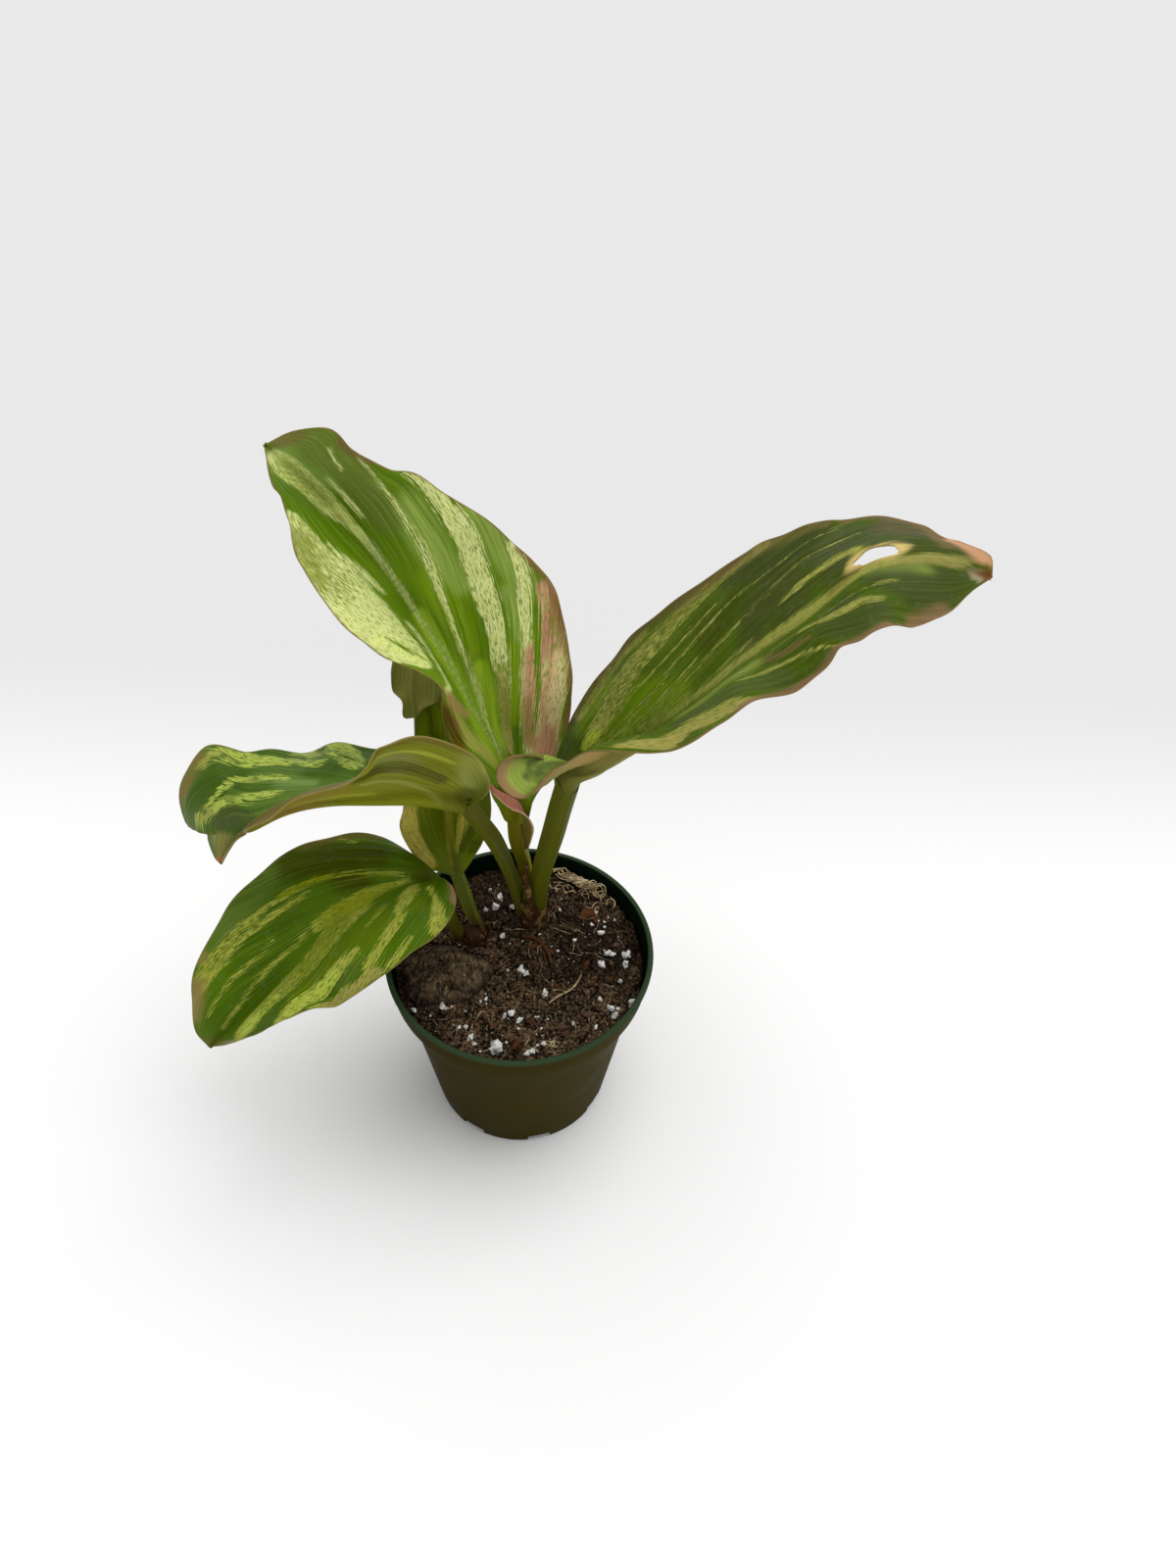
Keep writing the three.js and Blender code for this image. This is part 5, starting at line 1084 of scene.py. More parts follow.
# Soft washes over the tissue: which tissue they tint (the green, the pale, all of the upper face or
# all of the lower face; "fleck" makes the pale tissue more flecked), their colour and strength, and
# runs as above, where the third number is the distance in mm at which the wash has faded out
WASHES = {
    "leaf_tall": [
        # Painted light: a bright yellow-green glow near the base, where light comes through the blade
        ("green", "#acce30", 0.95, [[(-0.06, 0.12, 6), (-0.02, 0.22, 7), (0, 0.32, 7), (0, 0.42, 5),
            (0.03, 0.52, 4)], [(0.1, 0.15, 5), (0.15, 0.25, 5), (0.22, 0.35, 4)]]),
        ("green", "#8eac14", 0.7, [[(0.2, 0.4, 7), (0.25, 0.47, 8), (0.3, 0.56, 8)], [(0.3, 0.2, 6),
            (0.5, 0.34, 5)]]),
        # Painted sheen: this wash and the two after it are grey-greens where the right half reflects the
        # sky
        ("green", "#a3bc58", 0.75, [[(0.45, 0.52, 5), (0.5, 0.62, 8), (0.62, 0.7, 8)], [(0.8, 0.42, 6),
            (0.9, 0.52, 7), (0.97, 0.62, 7)], [(0.62, 0.36, 4), (0.72, 0.44, 5)]]),
        ("green", "#8eac50", 0.8, [[(0.2, 0.97, 5), (0.3, 0.92, 6), (0.28, 0.84, 4)]]),
        ("green", "#6a7a30", 0.9, [[(0.4, 0.72, 8), (0.5, 0.8, 9), (0.7, 0.86, 9), (0.6, 0.93, 9),
            (0.85, 0.93, 6)]]),
        ("green", "#5f7a2c", 0.6, [[(-0.9, 0.93, 4), (-0.6, 0.88, 5), (-0.4, 0.82, 4)]]),
        ("pale", "#c06c66", 0.95, [[(0.97, 0.42, 5), (0.9, 0.34, 8), (0.84, 0.29, 7)], [(0.72, 0.13, 6),
            (0.66, 0.08, 6)]]),
        ("pale", "#d08874", 0.9, [[(0.66, 0.31, 5), (0.6, 0.25, 7), (0.54, 0.18, 6), (0.46, 0.12, 5)],
            [(0.8, 0.24, 6), (0.7, 0.17, 6)]]),
        ("pale", "#ecd79c", 0.9, [[(0.88, 0.27, 3), (0.84, 0.22, 4), (0.8, 0.18, 5), (0.76, 0.13, 4)],
            [(0.6, 0.2, 2), (0.52, 0.13, 2.4)]]),
        ("pale", "#a8884e", 0.8, [[(0.3, 0.27, 4), (0.24, 0.2, 4.5), (0.18, 0.12, 4)], [(0.5, 0.22, 4),
            (0.42, 0.12, 4)]]),
        ("pale", "#b5a956", 0.65, [[(-0.2, 0.86, 5), (-0.08, 0.8, 4), (0, 0.76, 2)], [(0.35, 0.31, 5),
            (0.26, 0.2, 5), (0.18, 0.13, 4)]]),
        ("pale", "#effa98", 0.8, [[(0.04, 0.72, 2), (0.05, 0.85, 3), (0.06, 0.95, 3)], [(-0.45, 0.92, 4),
            (-0.3, 0.87, 3), (-0.12, 0.79, 2)], [(-0.5, 0.42, 5), (-0.7, 0.5, 6)]]),
        ("pale", "#a5ab54", 0.75, [[(-0.85, 0.75, 6), (-0.95, 0.68, 6)]]),
        ("fleck", "", 1.0, [[(-0.85, 0.76, 9), (-0.75, 0.66, 10)], [(-0.25, 0.92, 7), (-0.1, 0.82, 6)],
            [(0.35, 0.32, 7), (0.25, 0.2, 7)], [(0.95, 0.36, 5), (0.9, 0.3, 4)]]),
        ("over", "#8a663a", 0.85, [[(1, 0.1, 3.4), (1, 0.2, 3.6), (1, 0.3, 3.6), (1, 0.4, 3),
            (1, 0.5, 2)]]),
        ("over", "#7c5a40", 0.65, [[(0.95, 0.97, 3), (0.75, 0.985, 4), (0.5, 0.99, 3)], [(0.97, 0.9, 3),
            (1, 0.84, 2.4)]]),
        ("over", "#d2c46a", 0.55, [[(-0.3, 0.12, 4), (-0.45, 0.18, 6), (-0.6, 0.23, 6),
            (-0.75, 0.28, 5)]]),
        ("over", "#c0946a", 0.75, [[(-0.25, 0.27, 3), (-0.5, 0.285, 4.5), (-0.8, 0.305, 4)],
            [(-0.75, 0.24, 4)] * 2]),
        # Partly the blade's own maroon colour, partly painted shade: the dark brown wedge where the left
        # half rolls in
        ("over", "#684a06", 0.95, [[(-1, 0.25, 6), (-0.88, 0.25, 6.5), (-0.8, 0.21, 5),
            (-0.9, 0.17, 5)]]),
        ("under", "#b08a64", 0.7, [[(0.9, 0.1, 7), (0.95, 0.3, 8)], [(-0.8, 0.08, 6), (-0.8, 0.2, 6)]]),
    ],
    "leaf_right": [
        ("green", "#6f8c06", 0.85, [[(-0.1, 0.15, 8), (-0.3, 0.26, 9), (-0.12, 0.36, 7)],
            [(-0.6, 0.11, 5), (-0.7, 0.2, 5)]]),
        ("green", "#444d08", 0.8, [[(-0.62, 0.4, 7), (-0.4, 0.45, 8), (-0.75, 0.5, 7)]]),
        # Painted sheen and shade: this wash and the next are dull grey-greens for a shaded face that
        # reflects the sky
        ("green", "#484f20", 0.95, [[(-0.2, 0.55, 9), (-0.5, 0.57, 13), (-0.3, 0.65, 13),
            (-0.7, 0.64, 10)], [(-0.5, 0.74, 12), (-0.2, 0.8, 7)]]),
        ("green", "#525a3a", 0.9, [[(-0.75, 0.7, 9), (-0.6, 0.79, 10), (-0.8, 0.8, 8),
            (-0.6, 0.87, 8)]]),
        ("green", "#655c42", 0.9, [[(-0.9, 0.79, 6), (-0.85, 0.86, 7), (-0.95, 0.9, 5)]]),
        # Painted sheen and shade: a dull grey-green, as above
        ("green", "#414a20", 0.9, [[(-0.85, 0.45, 7), (-0.8, 0.55, 8), (-0.85, 0.65, 7)],
            [(0.2, 0.88, 8), (0.5, 0.92, 10), (0.3, 0.96, 6)], [(-0.5, 0.9, 8), (-0.3, 0.95, 6)]]),
        ("green", "#8fa04a", 0.8, [[(0.12, 0.36, 4), (0.18, 0.46, 6), (0.2, 0.55, 5)], [(0.05, 0.85, 3),
            (0.15, 0.92, 4)]]),
        # Painted sheen and shade: this wash and the next are dull grey-greens, as above
        ("green", "#566332", 0.8, [[(0.4, 0.36, 6), (0.5, 0.4, 6), (0.6, 0.45, 6), (0.7, 0.54, 7)]]),
        ("green", "#475326", 0.9, [[(0.4, 0.78, 8), (0.72, 0.7, 7), (0.78, 0.82, 7)], [(0.4, 0.9, 7),
            (0.2, 0.85, 6)], [(0.6, 0.92, 6)] * 2]),
        ("pale", "#8b7c3a", 0.8, [[(-0.14, 0.76, 4), (-0.18, 0.8, 4)]]),
        ("pale", "#b3a759", 0.8, [[(0.75, 0.27, 5), (0.85, 0.36, 7), (0.95, 0.46, 4)]]),
        ("pale", "#a69c5a", 0.8, [[(-0.12, 0.9, 4), (-0.15, 0.97, 4)]]),
        ("pale", "#8a8438", 0.7, [[(-0.88, 0.2, 5), (-0.88, 0.3, 5), (-0.9, 0.45, 5)]]),
        ("pale", "#c6d63e", 0.8, [[(-0.25, 0.09, 3), (-0.3, 0.14, 3)]]),
        ("fleck", "", 1.0, [[(-0.5, 0.2, 9), (-0.66, 0.3, 9), (-0.85, 0.4, 8)], [(-0.85, 0.15, 6),
            (-0.9, 0.3, 6)]]),
        ("over", "#7d6a40", 0.75, [[(0.2, 0.585, 2), (0.3, 0.575, 3), (0.45, 0.62, 2.4),
            (0.55, 0.65, 2)]]),
        ("over", "#8e6f50", 0.85, [[(1, 0.46, 2.4), (1, 0.55, 3.6), (1, 0.63, 2.6), (1, 0.75, 2),
            (1, 0.82, 2)], [(1, 0.88, 4), (1, 0.94, 4)]]),
        ("over", "#7c6c3e", 0.65, [[(-0.98, 0.34, 4), (-0.97, 0.45, 5), (-0.97, 0.56, 4),
            (-0.98, 0.66, 3)]]),
        ("over", "#5c4a2a", 0.7, [[(-1, 0.1, 4), (-1, 0.2, 4), (-1, 0.3, 4.5), (-1, 0.4, 5),
            (-1, 0.48, 4)]]),
        ("over", "#846c4a", 0.8, [[(-1, 0.7, 2), (-1, 0.85, 2.6), (-0.8, 0.925, 4), (-0.6, 0.94, 3)]]),
        ("over", "#d8a078", 0.95, [[(-1, 0.925, 3), (-0.9, 0.955, 3), (-0.6, 0.98, 2.6)]]),
        ("over", "#d9cdb0", 0.6, [[(-0.1, 0.984, 1.2), (0.5, 0.984, 1.3)]]),
        ("over", "#7c4a24", 0.95, [[(-0.6, 1, 2.6), (0, 0.995, 3.4), (0.6, 1, 3)]]),
        ("over", "#e8c682", 1.0, [[(-0.32, 0.795, 4.4), (-0.32, 0.83, 5.4), (-0.3, 0.868, 4.6)]]),
        ("over", "#a4b552", 0.9, [[(0.4, 0.07, 6), (0.65, 0.085, 8), (0.8, 0.1, 8)]]),
        ("over", "#a67c5c", 0.9, [[(1, 0.025, 3), (1, 0.05, 3.6), (1, 0.07, 3.6), (1, 0.09, 4),
            (1, 0.11, 4), (1, 0.13, 3)]]),
        ("over", "#4a5c2c", 0.85, [[(0.3, 0.095, 1.6), (0.45, 0.1, 2), (0.62, 0.112, 2)],
            [(0.5, 0.085, 1.4), (0.62, 0.092, 1.8)], [(0.7, 0.072, 1.6)] * 2, [(0.52, 0.068, 1.3)] * 2,
            [(0.72, 0.108, 1.6), (0.62, 0.104, 1.4)]]),
        ("under", "#a8884a", 0.85, [[(0.3, 0.16, 7), (0.5, 0.2, 9), (0.8, 0.22, 12), (1, 0.3, 10),
            (1, 0.4, 6)]]),
        ("under", "#9a6f50", 0.8, [[(1, 0.14, 3), (1, 0.18, 3), (1, 0.24, 3)]]),
    ],
    "leaf_arched": [
        ("green", "#647e37", 0.7, [[(0.38, 0.52, 5), (0.5, 0.6, 5), (0.52, 0.66, 4)]]),
        ("green", "#78944c", 0.8, [[(0.26, 0.48, 3), (0.33, 0.57, 3.4)]]),
        ("green", "#405a14", 0.85, [[(0.4, 0.42, 6), (0.45, 0.48, 5)], [(0.6, 0.7, 7), (0.66, 0.8, 7),
            (0.7, 0.86, 5)]]),
        ("green", "#4f5a2e", 0.9, [[(0.1, 0.7, 4), (0.18, 0.78, 6), (0.25, 0.86, 6)]]),
        ("pale", "#74883c", 0.7, [[(0.35, 0.75, 3.4), (0.5, 0.64, 3)]]),
        ("pale", "#939446", 0.8, [[(0.45, 0.86, 4), (0.6, 0.885, 3)], [(0.86, 0.74, 4),
            (0.84, 0.8, 4)]]),
        ("fleck", "", 0.7, [[(0.6, 0.4, 9), (0.9, 0.5, 9)]]),
        ("over", "#6d5b2c", 0.9, [[(-0.85, 0.42, 7), (-0.8, 0.55, 8), (-0.8, 0.65, 7), (-0.7, 0.78, 7),
            (-0.7, 0.88, 5)]]),
        ("over", "#8a7442", 0.7, [[(-1, 0.6, 3), (-1, 0.75, 3), (-0.9, 0.87, 3)]]),
        ("over", "#84703c", 0.85, [[(0.98, 0.8, 5), (0.95, 0.86, 4)]]),
        ("over", "#948c44", 0.85, [[(0.5, 0.92, 3), (0.2, 0.935, 4), (0, 0.96, 4)]]),
        ("over", "#b8743c", 0.9, [[(0, 1, 2.4), (0.6, 0.99, 2.4)], [(-0.6, 1, 2.4)] * 2]),
        ("under", "#84874e", 0.7, [[(-0.5, 0.22, 8), (-0.7, 0.27, 6)]]),
        ("under", "#6c5c26", 0.85, [[(-1, 0.1, 3), (-1, 0.18, 5), (-1, 0.28, 5)],
            [(-0.9, 0.06, 3)] * 2]),
        ("under", "#4a5010", 0.85, [[(-0.95, 0.05, 5), (-0.6, 0.035, 5), (-0.3, 0.04, 4)]]),
        ("under", "#3f4410", 0.85, [[(-0.3, 0.12, 3), (-0.45, 0.25, 4), (-0.5, 0.36, 4)],
            [(-0.8, 0.4, 6), (-0.7, 0.5, 7)], [(0.3, 0.1, 6), (0.5, 0.2, 8)]]),
        ("under", "#a9b23a", 0.8, [[(-0.62, 0.12, 1.2), (-0.7, 0.22, 1.6), (-0.75, 0.34, 1.4)],
            [(-0.08, 0.3, 1.2), (-0.12, 0.42, 1.6), (-0.14, 0.55, 1.2)], [(-0.95, 0.5, 2),
            (-0.96, 0.62, 2)]]),
        ("under", "#787a0a", 0.8, [[(0, 0.1, 4), (0, 0.25, 4), (0, 0.4, 3.4)]]),
        ("under", "#8a7030", 0.75, [[(-0.35, 0.42, 7), (-0.15, 0.52, 6), (-0.1, 0.6, 5)]]),
        ("under", "#9aa252", 0.6, [[(-0.04, 0.1, 0.9), (-0.18, 0.2, 1.2), (-0.32, 0.34, 1.2)],
            [(-0.95, 0.09, 4), (-0.7, 0.08, 4), (-0.45, 0.06, 3)]]),
    ],
    "leaf_low": [
        # Painted shadow: the dark olive where the arched leaf above shades the right half
        ("green", "#454c00", 0.95, [[(0.3, 0.3, 10), (0.6, 0.3, 12), (0.85, 0.4, 10), (0.5, 0.2, 8)]]),
        ("green", "#657a04", 0.7, [[(-0.3, 0.3, 6), (-0.45, 0.38, 6), (-0.42, 0.5, 5), (-0.5, 0.65, 4)],
            [(-0.5, 0.2, 5)] * 2]),
        ("green", "#71883c", 0.45, [[(0.95, 0.5, 9), (0.9, 0.6, 12), (0.85, 0.68, 9)]]),
        ("green", "#5c6e2c", 0.6, [[(-0.75, 0.45, 4), (-0.72, 0.52, 4)]]),
        ("pale", "#8a9400", 0.85, [[(0.05, 0.2, 3), (0.05, 0.32, 5), (0.08, 0.44, 5)], [(0.2, 0.2, 3),
            (0.5, 0.4, 4), (0.58, 0.48, 3)]]),
        ("pale", "#93a024", 0.7, [[(-0.12, 0.44, 7), (-0.22, 0.56, 7)]]),
        ("pale", "#b6c850", 0.8, [[(-0.6, 0.52, 4), (-0.72, 0.62, 5), (-0.9, 0.72, 5)], [(-0.35, 0.7, 4),
            (-0.6, 0.85, 4)]]),
        ("pale", "#9c9050", 0.8, [[(-0.93, 0.42, 4), (-0.95, 0.6, 4)]]),
        ("fleck", "", 0.8, [[(-0.12, 0.42, 8), (-0.25, 0.6, 8), (-0.4, 0.75, 6)], [(0.65, 0.6, 6),
            (0.8, 0.76, 6)]]),
        ("over", "#917e42", 0.9, [[(1, 0.9, 7), (0.92, 0.84, 7), (0.82, 0.87, 5)],
            [(0.97, 0.76, 3.4)] * 2]),
        ("over", "#7d6c34", 0.6, [[(1, 0.15, 4), (1, 0.25, 4.5), (1, 0.35, 4)]]),
        ("over", "#9a9468", 0.85, [[(-0.95, 0.92, 2.4), (-0.75, 0.955, 2.4)]]),
        ("over", "#66621e", 0.7, [[(-0.4, 0.95, 4), (0, 0.975, 3), (0.4, 0.96, 3)]]),
        ("over", "#a4825c", 0.85, [[(-1, 0.04, 3.4), (-1, 0.09, 3.4)]]),
    ],
    "leaf_rear": [
        ("green", "#3a4a00", 0.85, [[(0.4, 0.13, 3), (0.6, 0.2, 3.4)], [(0.8, 0.12, 7)] * 2]),
        ("green", "#7e9000", 0.85, [[(-0.4, 0.6, 7), (0.1, 0.63, 8)]]),
        ("pale", "#c9ba58", 0.9, [[(-0.8, 0.12, 6), (-0.82, 0.3, 6)]]),
        ("pale", "#86861a", 0.8, [[(0, 0.1, 4), (0.1, 0.3, 4)]]),
        ("over", "#ddd07a", 0.9, [[(-0.85, 0.84, 4), (-0.6, 0.9, 4)]]),
        ("over", "#a8ba14", 0.85, [[(0.1, 0.88, 4), (0.5, 0.9, 6)], [(-0.8, 0.73, 5)] * 2]),
        ("over", "#b4905c", 0.9, [[(-0.4, 0.86, 1.2), (0, 0.93, 1.2), (0.4, 0.962, 1.2),
            (0.8, 0.97, 1.2)]]),
    ],
}


def unit(vectors):
    """Vectors of length one."""
    vectors = np.asarray(vectors, float)
    return vectors / np.maximum(np.linalg.norm(vectors, axis=-1, keepdims=True), 1e-12)


def leaf_sections(leaf, shares):
    """Centre, left and right point and the rib's half-width of each section; -1 is the stalk's foot."""
    foot_radius, base_radius = leaf["radii"]
    on_stalk = (shares <= 0)[:, None]
    way = np.clip(shares + 1, 0, 1)
    blade = np.clip(shares, 0, 1)
    centre = np.where(on_stalk, through(spaced(leaf["stalk"]), way), through(leaf["rib"], blade))
    foot_across, blade_across = np.array(leaf["foot_across"]), np.array(leaf["blade_across"])
    across = unit(foot_across + (blade_across - foot_across) * way[:, None])
    radius = foot_radius + (base_radius - foot_radius) * np.minimum(1, way * 1.6)
    base, tip = np.array(leaf["rib"][0][1:]), np.array(leaf["rib"][-1][1:])
    sides = []
    for knots, sign in ((leaf["left"], -1), (leaf["right"], 1)):
        first = base + unit(blade_across) * sign * base_radius
        end = tip + unit(np.array(knots[-1][1:]) - tip) * LEAF_TIP
        margin = through([(0, *first), *knots, (1, *end)], blade)
        sides.append(np.where(on_stalk, centre + across * (sign * radius)[:, None], margin))
    rib = np.where(shares <= 0, radius, base_radius + (RIB_TIP - base_radius) * np.sqrt(blade))
    return centre, sides[0], sides[1], rib


def leaf_grid(leaf):
    """The leaf's upper and lower faces as grids of points, with where each point lies on the leaf."""
    shares = np.concatenate([np.linspace(-1, 0, STALK_ROWS, endpoint=False), np.linspace(0, 1, BLADE_ROWS)])
    centre, left, right, rib = leaf_sections(leaf, shares)
    ahead = leaf_sections(leaf, np.minimum(shares + 0.01, 1))[0]
    behind = leaf_sections(leaf, np.maximum(shares - 0.01, -1))[0]
    along = unit(ahead - behind)
    normal = unit(np.cross(right - left, along))
    steps = np.linspace(0, 1, HALF_COLUMNS + 1)
    half = 0.7 * steps + 0.3 * steps ** 2
    across = np.concatenate([-half[::-1], half[1:]])
    s = np.abs(across)[None, :]
    margin = np.where(across[None, :, None] < 0, left[:, None], right[:, None])
    width = np.linalg.norm(margin - centre[:, None], axis=2)
    blade = np.clip(shares, 0, 1)[:, None]
    swell = np.where(shares[:, None] > 0, leaf["camber"] * np.minimum(1, width / 20), STALK_CHANNEL)
    length = np.linalg.norm(np.diff(centre[STALK_ROWS:], axis=0), axis=1).sum()
    slope, bend, reach = leaf["veins"]
    vein = (blade - slope * s - bend * (1 - np.exp(-s / reach))) * length
    open_blade = np.clip(blade * 6, 0, 1) * np.clip((1 - blade) * 8, 0, 1)
    groove = -GROOVE_DEPTH * np.exp(-(s * width / 1.2) ** 2) * np.clip(1.3 - blade, 0, 1)
    uneven = 0.75 + 0.35 * np.sin(vein * 0.11 + across[None, :] * 3)
    pleat = PLEAT_RISE * uneven * np.sin(vein * 2 * math.pi / PLEAT_LENGTH)
    pleat = pleat * np.clip(s * 4, 0, 1) * open_blade
    ruffle = RUFFLE_RISE * np.sin(blade * 31 + across[None, :] * 2) * s ** 3 * open_blade
    lift = swell * np.sin(math.pi * s) ** 1.4 + groove + pleat + ruffle
    top = centre[:, None] + (margin - centre[:, None]) * s[..., None] + normal[:, None] * lift[..., None]
    faces = unit(np.cross(np.gradient(top, axis=1), np.gradient(top, axis=0)))
    thin = np.where(shares <= 0, 1, 1 - 0.75 * blade[:, 0])[:, None]
    inside = np.minimum(1, s * width / rib[:, None])
    thick = LEAF_EDGE + RIB_DEPTH * rib[:, None] * thin * np.sqrt(1 - inside ** 2)
    bottom = top - faces * thick[..., None]
    where = {
        "across": np.broadcast_to(across[None, :], width.shape),
        "along": np.broadcast_to(shares[:, None], width.shape),
        "width": width, "vein": vein, "length": length, "rows": shares,
    }
    return top, bottom, where


def run_distances(where, run):
    """For points along a run, how far each point of the leaf is from it, and its half-width there."""
    knots = [(i, *knot) for i, knot in enumerate(run)]
    line = through(knots, np.linspace(0, len(run) - 1, 10 * len(run)))
    side = np.where(line[:, 0] < 0, np.interp(line[:, 1], where["rows"], where["width"][:, 0]),
                    np.interp(line[:, 1], where["rows"], where["width"][:, -1]))
    flat_x, flat_y = where["across"] * where["width"], where["along"] * where["length"]
    for x, y, half in zip(line[:, 0] * side, line[:, 1] * where["length"], line[:, 2]):
        yield np.hypot(flat_x - x, flat_y - y), half


def stripe_field(where, stripes):
    """How deep each point lies inside the nearest stripe, in millimetres; outside it is negative."""
    field = np.full(where["across"].shape, -50.0)
    for run in stripes:
        for distance, half in run_distances(where, run):
            field = np.maximum(field, half - distance) if half > 0 else np.minimum(field, distance + half)
    return field


def wash_field(where, runs):
    """How strongly a wash covers each point, from 0 to 1."""
    cover = np.zeros(where["across"].shape)
    for run in runs:
        for distance, half in run_distances(where, run):
            cover = np.maximum(cover, np.clip(1.4 - 1.25 * distance / half, 0, 1))
    return cover * cover * (3 - 2 * cover)


# A living leaf blade: waxy skin over soft tissue, so it has a broad soft shine and lets a little
# light through. The flecks of the pale tissue are some 0.3 mm wide, drawn a little coarser to show.
def leaf_material(name, tones, washes):
    """Green tissue with flecked pale stripes along the veins; tones are sRGB codes by name."""
    material, tree = new_material(name)
    read = {key: add_node(tree, "Attribute", output="Fac", attribute_name=key)
            for key in ("stripe", "under", "rim", "stalk")}
    vein = add_node(tree, "Attribute", output="Vector", attribute_name="vein")
    place = add_node(tree, "TexCoord", output="Object")
    long_flecks = add_node(tree, "Mapping", {"Vector": vein, "Scale": (0.34, 0.045, 1.0)})
    coarse = add_node(tree, "TexNoise",
                      {"Vector": long_flecks, "Scale": 1.0, "Detail": 3.0, "Roughness": 0.6})
    short_flecks = add_node(tree, "Mapping", {"Vector": vein, "Scale": (0.85, 0.16, 1.0)})
    fine = add_node(tree, "TexNoise",
                    {"Vector": short_flecks, "Scale": 1.0, "Detail": 4.0, "Roughness": 0.7})
    dashes = add_node(tree, "Mapping",
                      {"Vector": vein, "Scale": (0.8, 0.36, 1.0), "Location": (7.0, 3.0, 0.0)})
    dashes = add_node(tree, "TexNoise", {"Vector": dashes, "Scale": 1.0, "Detail": 2.0, "Roughness": 0.6})
    threads = add_node(tree, "Mapping",
                       {"Vector": vein, "Scale": (0.6, 0.022, 1.0), "Location": (2.0, 5.0, 0.0)})
    threads = add_node(tree, "TexNoise", {"Vector": threads, "Scale": 1.0, "Detail": 3.0, "Roughness": 0.7})
    broken = add_node(tree, "MapRange", {0: coarse, 1: 0.3, 2: 0.62, 3: 0.45, 4: 1.15})

    def washed(layer, skin):
        """Tints a colour with the washes of one tissue, each broken up a little along the veins."""
        for i, (tissue, tone, strength, _) in enumerate(washes):
            if tissue == layer:
                cover = add_node(tree, "Attribute", output="Fac", attribute_name=f"wash_{i}")
                cover = add_node(tree, "Math", {0: cover, 1: broken}, operation="MULTIPLY")
                cover = add_node(tree, "Math", {0: cover, 1: strength}, operation="MULTIPLY",
                                 use_clamp=True)
                skin = add_node(tree, "Mix", {0: cover, 6: skin, 7: linear(tone)}, 2, data_type="RGBA")
        return skin

    inside = add_node(tree, "Clamp", {0: read["stripe"], 1: -3.0, 2: 2.2})
    ragged = add_node(tree, "Math", {0: threads, 1: 7.0, 2: -3.5}, operation="MULTIPLY_ADD")
    flecked = add_node(tree, "Math", {0: fine, 1: 5.0, 2: -2.5}, operation="MULTIPLY_ADD")
    edge = add_node(tree, "Math", {0: inside, 1: ragged}, operation="ADD")
    edge = add_node(tree, "Math", {0: edge, 1: flecked}, operation="ADD")
    pale = add_node(tree, "MapRange", {0: edge, 1: -0.2, 2: 0.3}, interpolation_type="SMOOTHSTEP")
    patches = add_node(tree, "TexNoise", {"Vector": place, "Scale": 28.0, "Detail": 2.0})
    patches = add_node(tree, "MapRange", {0: patches, 1: 0.35, 2: 0.7})
    green = add_node(tree, "Mix", {0: patches, 6: linear(tones["green"]), 7: linear(tones["light"])}, 2,
                     data_type="RGBA")
    green = washed("green", green)
    dark = add_node(tree, "MapRange", {0: threads, 1: 0.48, 2: 0.34, 4: 0.6})
    green = add_node(tree, "Mix", {0: dark, 6: green, 7: linear(tones["deep"])}, 2, data_type="RGBA")
    streak = add_node(tree, "MapRange", {0: threads, 1: 0.56, 2: 0.7, 4: 0.45})
    green = add_node(tree, "Mix", {0: streak, 6: green, 7: linear(tones["yellow"])}, 2, data_type="RGBA")
    mottle = add_node(tree, "MapRange", {0: fine, 1: 0.36, 2: 0.6})
    cream = add_node(tree, "Mix", {0: mottle, 6: linear(tones["yellow"]), 7: linear(tones["cream"])}, 2,
                     data_type="RGBA")
    cream = washed("pale", cream)
    fleck = add_node(tree, "Attribute", output="Fac", attribute_name="fleck")
    fleck = add_node(tree, "Math", {0: fleck, 1: 0.09, 2: dashes}, operation="MULTIPLY_ADD")
    fleck = add_node(tree, "MapRange", {0: fleck, 1: 0.54, 2: 0.6, 4: 0.9})
    cream = add_node(tree, "Mix", {0: fleck, 6: cream, 7: linear(tones["fleck"])}, 2, data_type="RGBA")
    skin = add_node(tree, "Mix", {0: pale, 6: green, 7: cream}, 2, data_type="RGBA")
    spots = add_node(tree, "TexNoise", {"Vector": place, "Scale": 380.0, "Detail": 2.0, "Roughness": 0.4})
    spots = add_node(tree, "MapRange", {0: spots, 1: 0.6, 2: 0.7, 4: 0.1})
    skin = add_node(tree, "Mix", {0: spots, 6: skin, 7: linear("#7d8c74")}, 2, data_type="RGBA")
    skin = washed("over", skin)
    grain = add_node(tree, "MapRange", {0: threads, 1: 0.35, 2: 0.65})
    under = add_node(tree, "Mix", {0: grain, 6: linear(tones["under"]), 7: linear(tones["under_light"])}, 2,
                     data_type="RGBA")
    showing = add_node(tree, "Math", {0: pale, 1: 0.4}, operation="MULTIPLY")
    under = add_node(tree, "Mix", {0: showing, 6: under, 7: linear(tones["cream"])}, 2, data_type="RGBA")
    under = washed("under", under)
    lines = add_node(tree, "TexWave",
                     {"Vector": vein, "Scale": 0.075, "Distortion": 0.8, "Detail": 1.0}, "Fac",
                     wave_type="BANDS", bands_direction="X")
    line = add_node(tree, "MapRange", {0: lines, 1: 0.7, 2: 1.0, 4: 0.3})
    under = add_node(tree, "Mix", {0: line, 6: under, 7: linear(tones["under_light"])}, 2, data_type="RGBA")
    skin = add_node(tree, "Mix", {0: read["under"], 6: skin, 7: under}, 2, data_type="RGBA")
    petiole = add_node(tree, "Mix",
                       {0: coarse, 6: linear(tones["stalk"]), 7: linear(tones["stalk_light"])}, 2,
                       data_type="RGBA")
    height = add_node(tree, "SeparateXYZ", {0: place}, "Z")
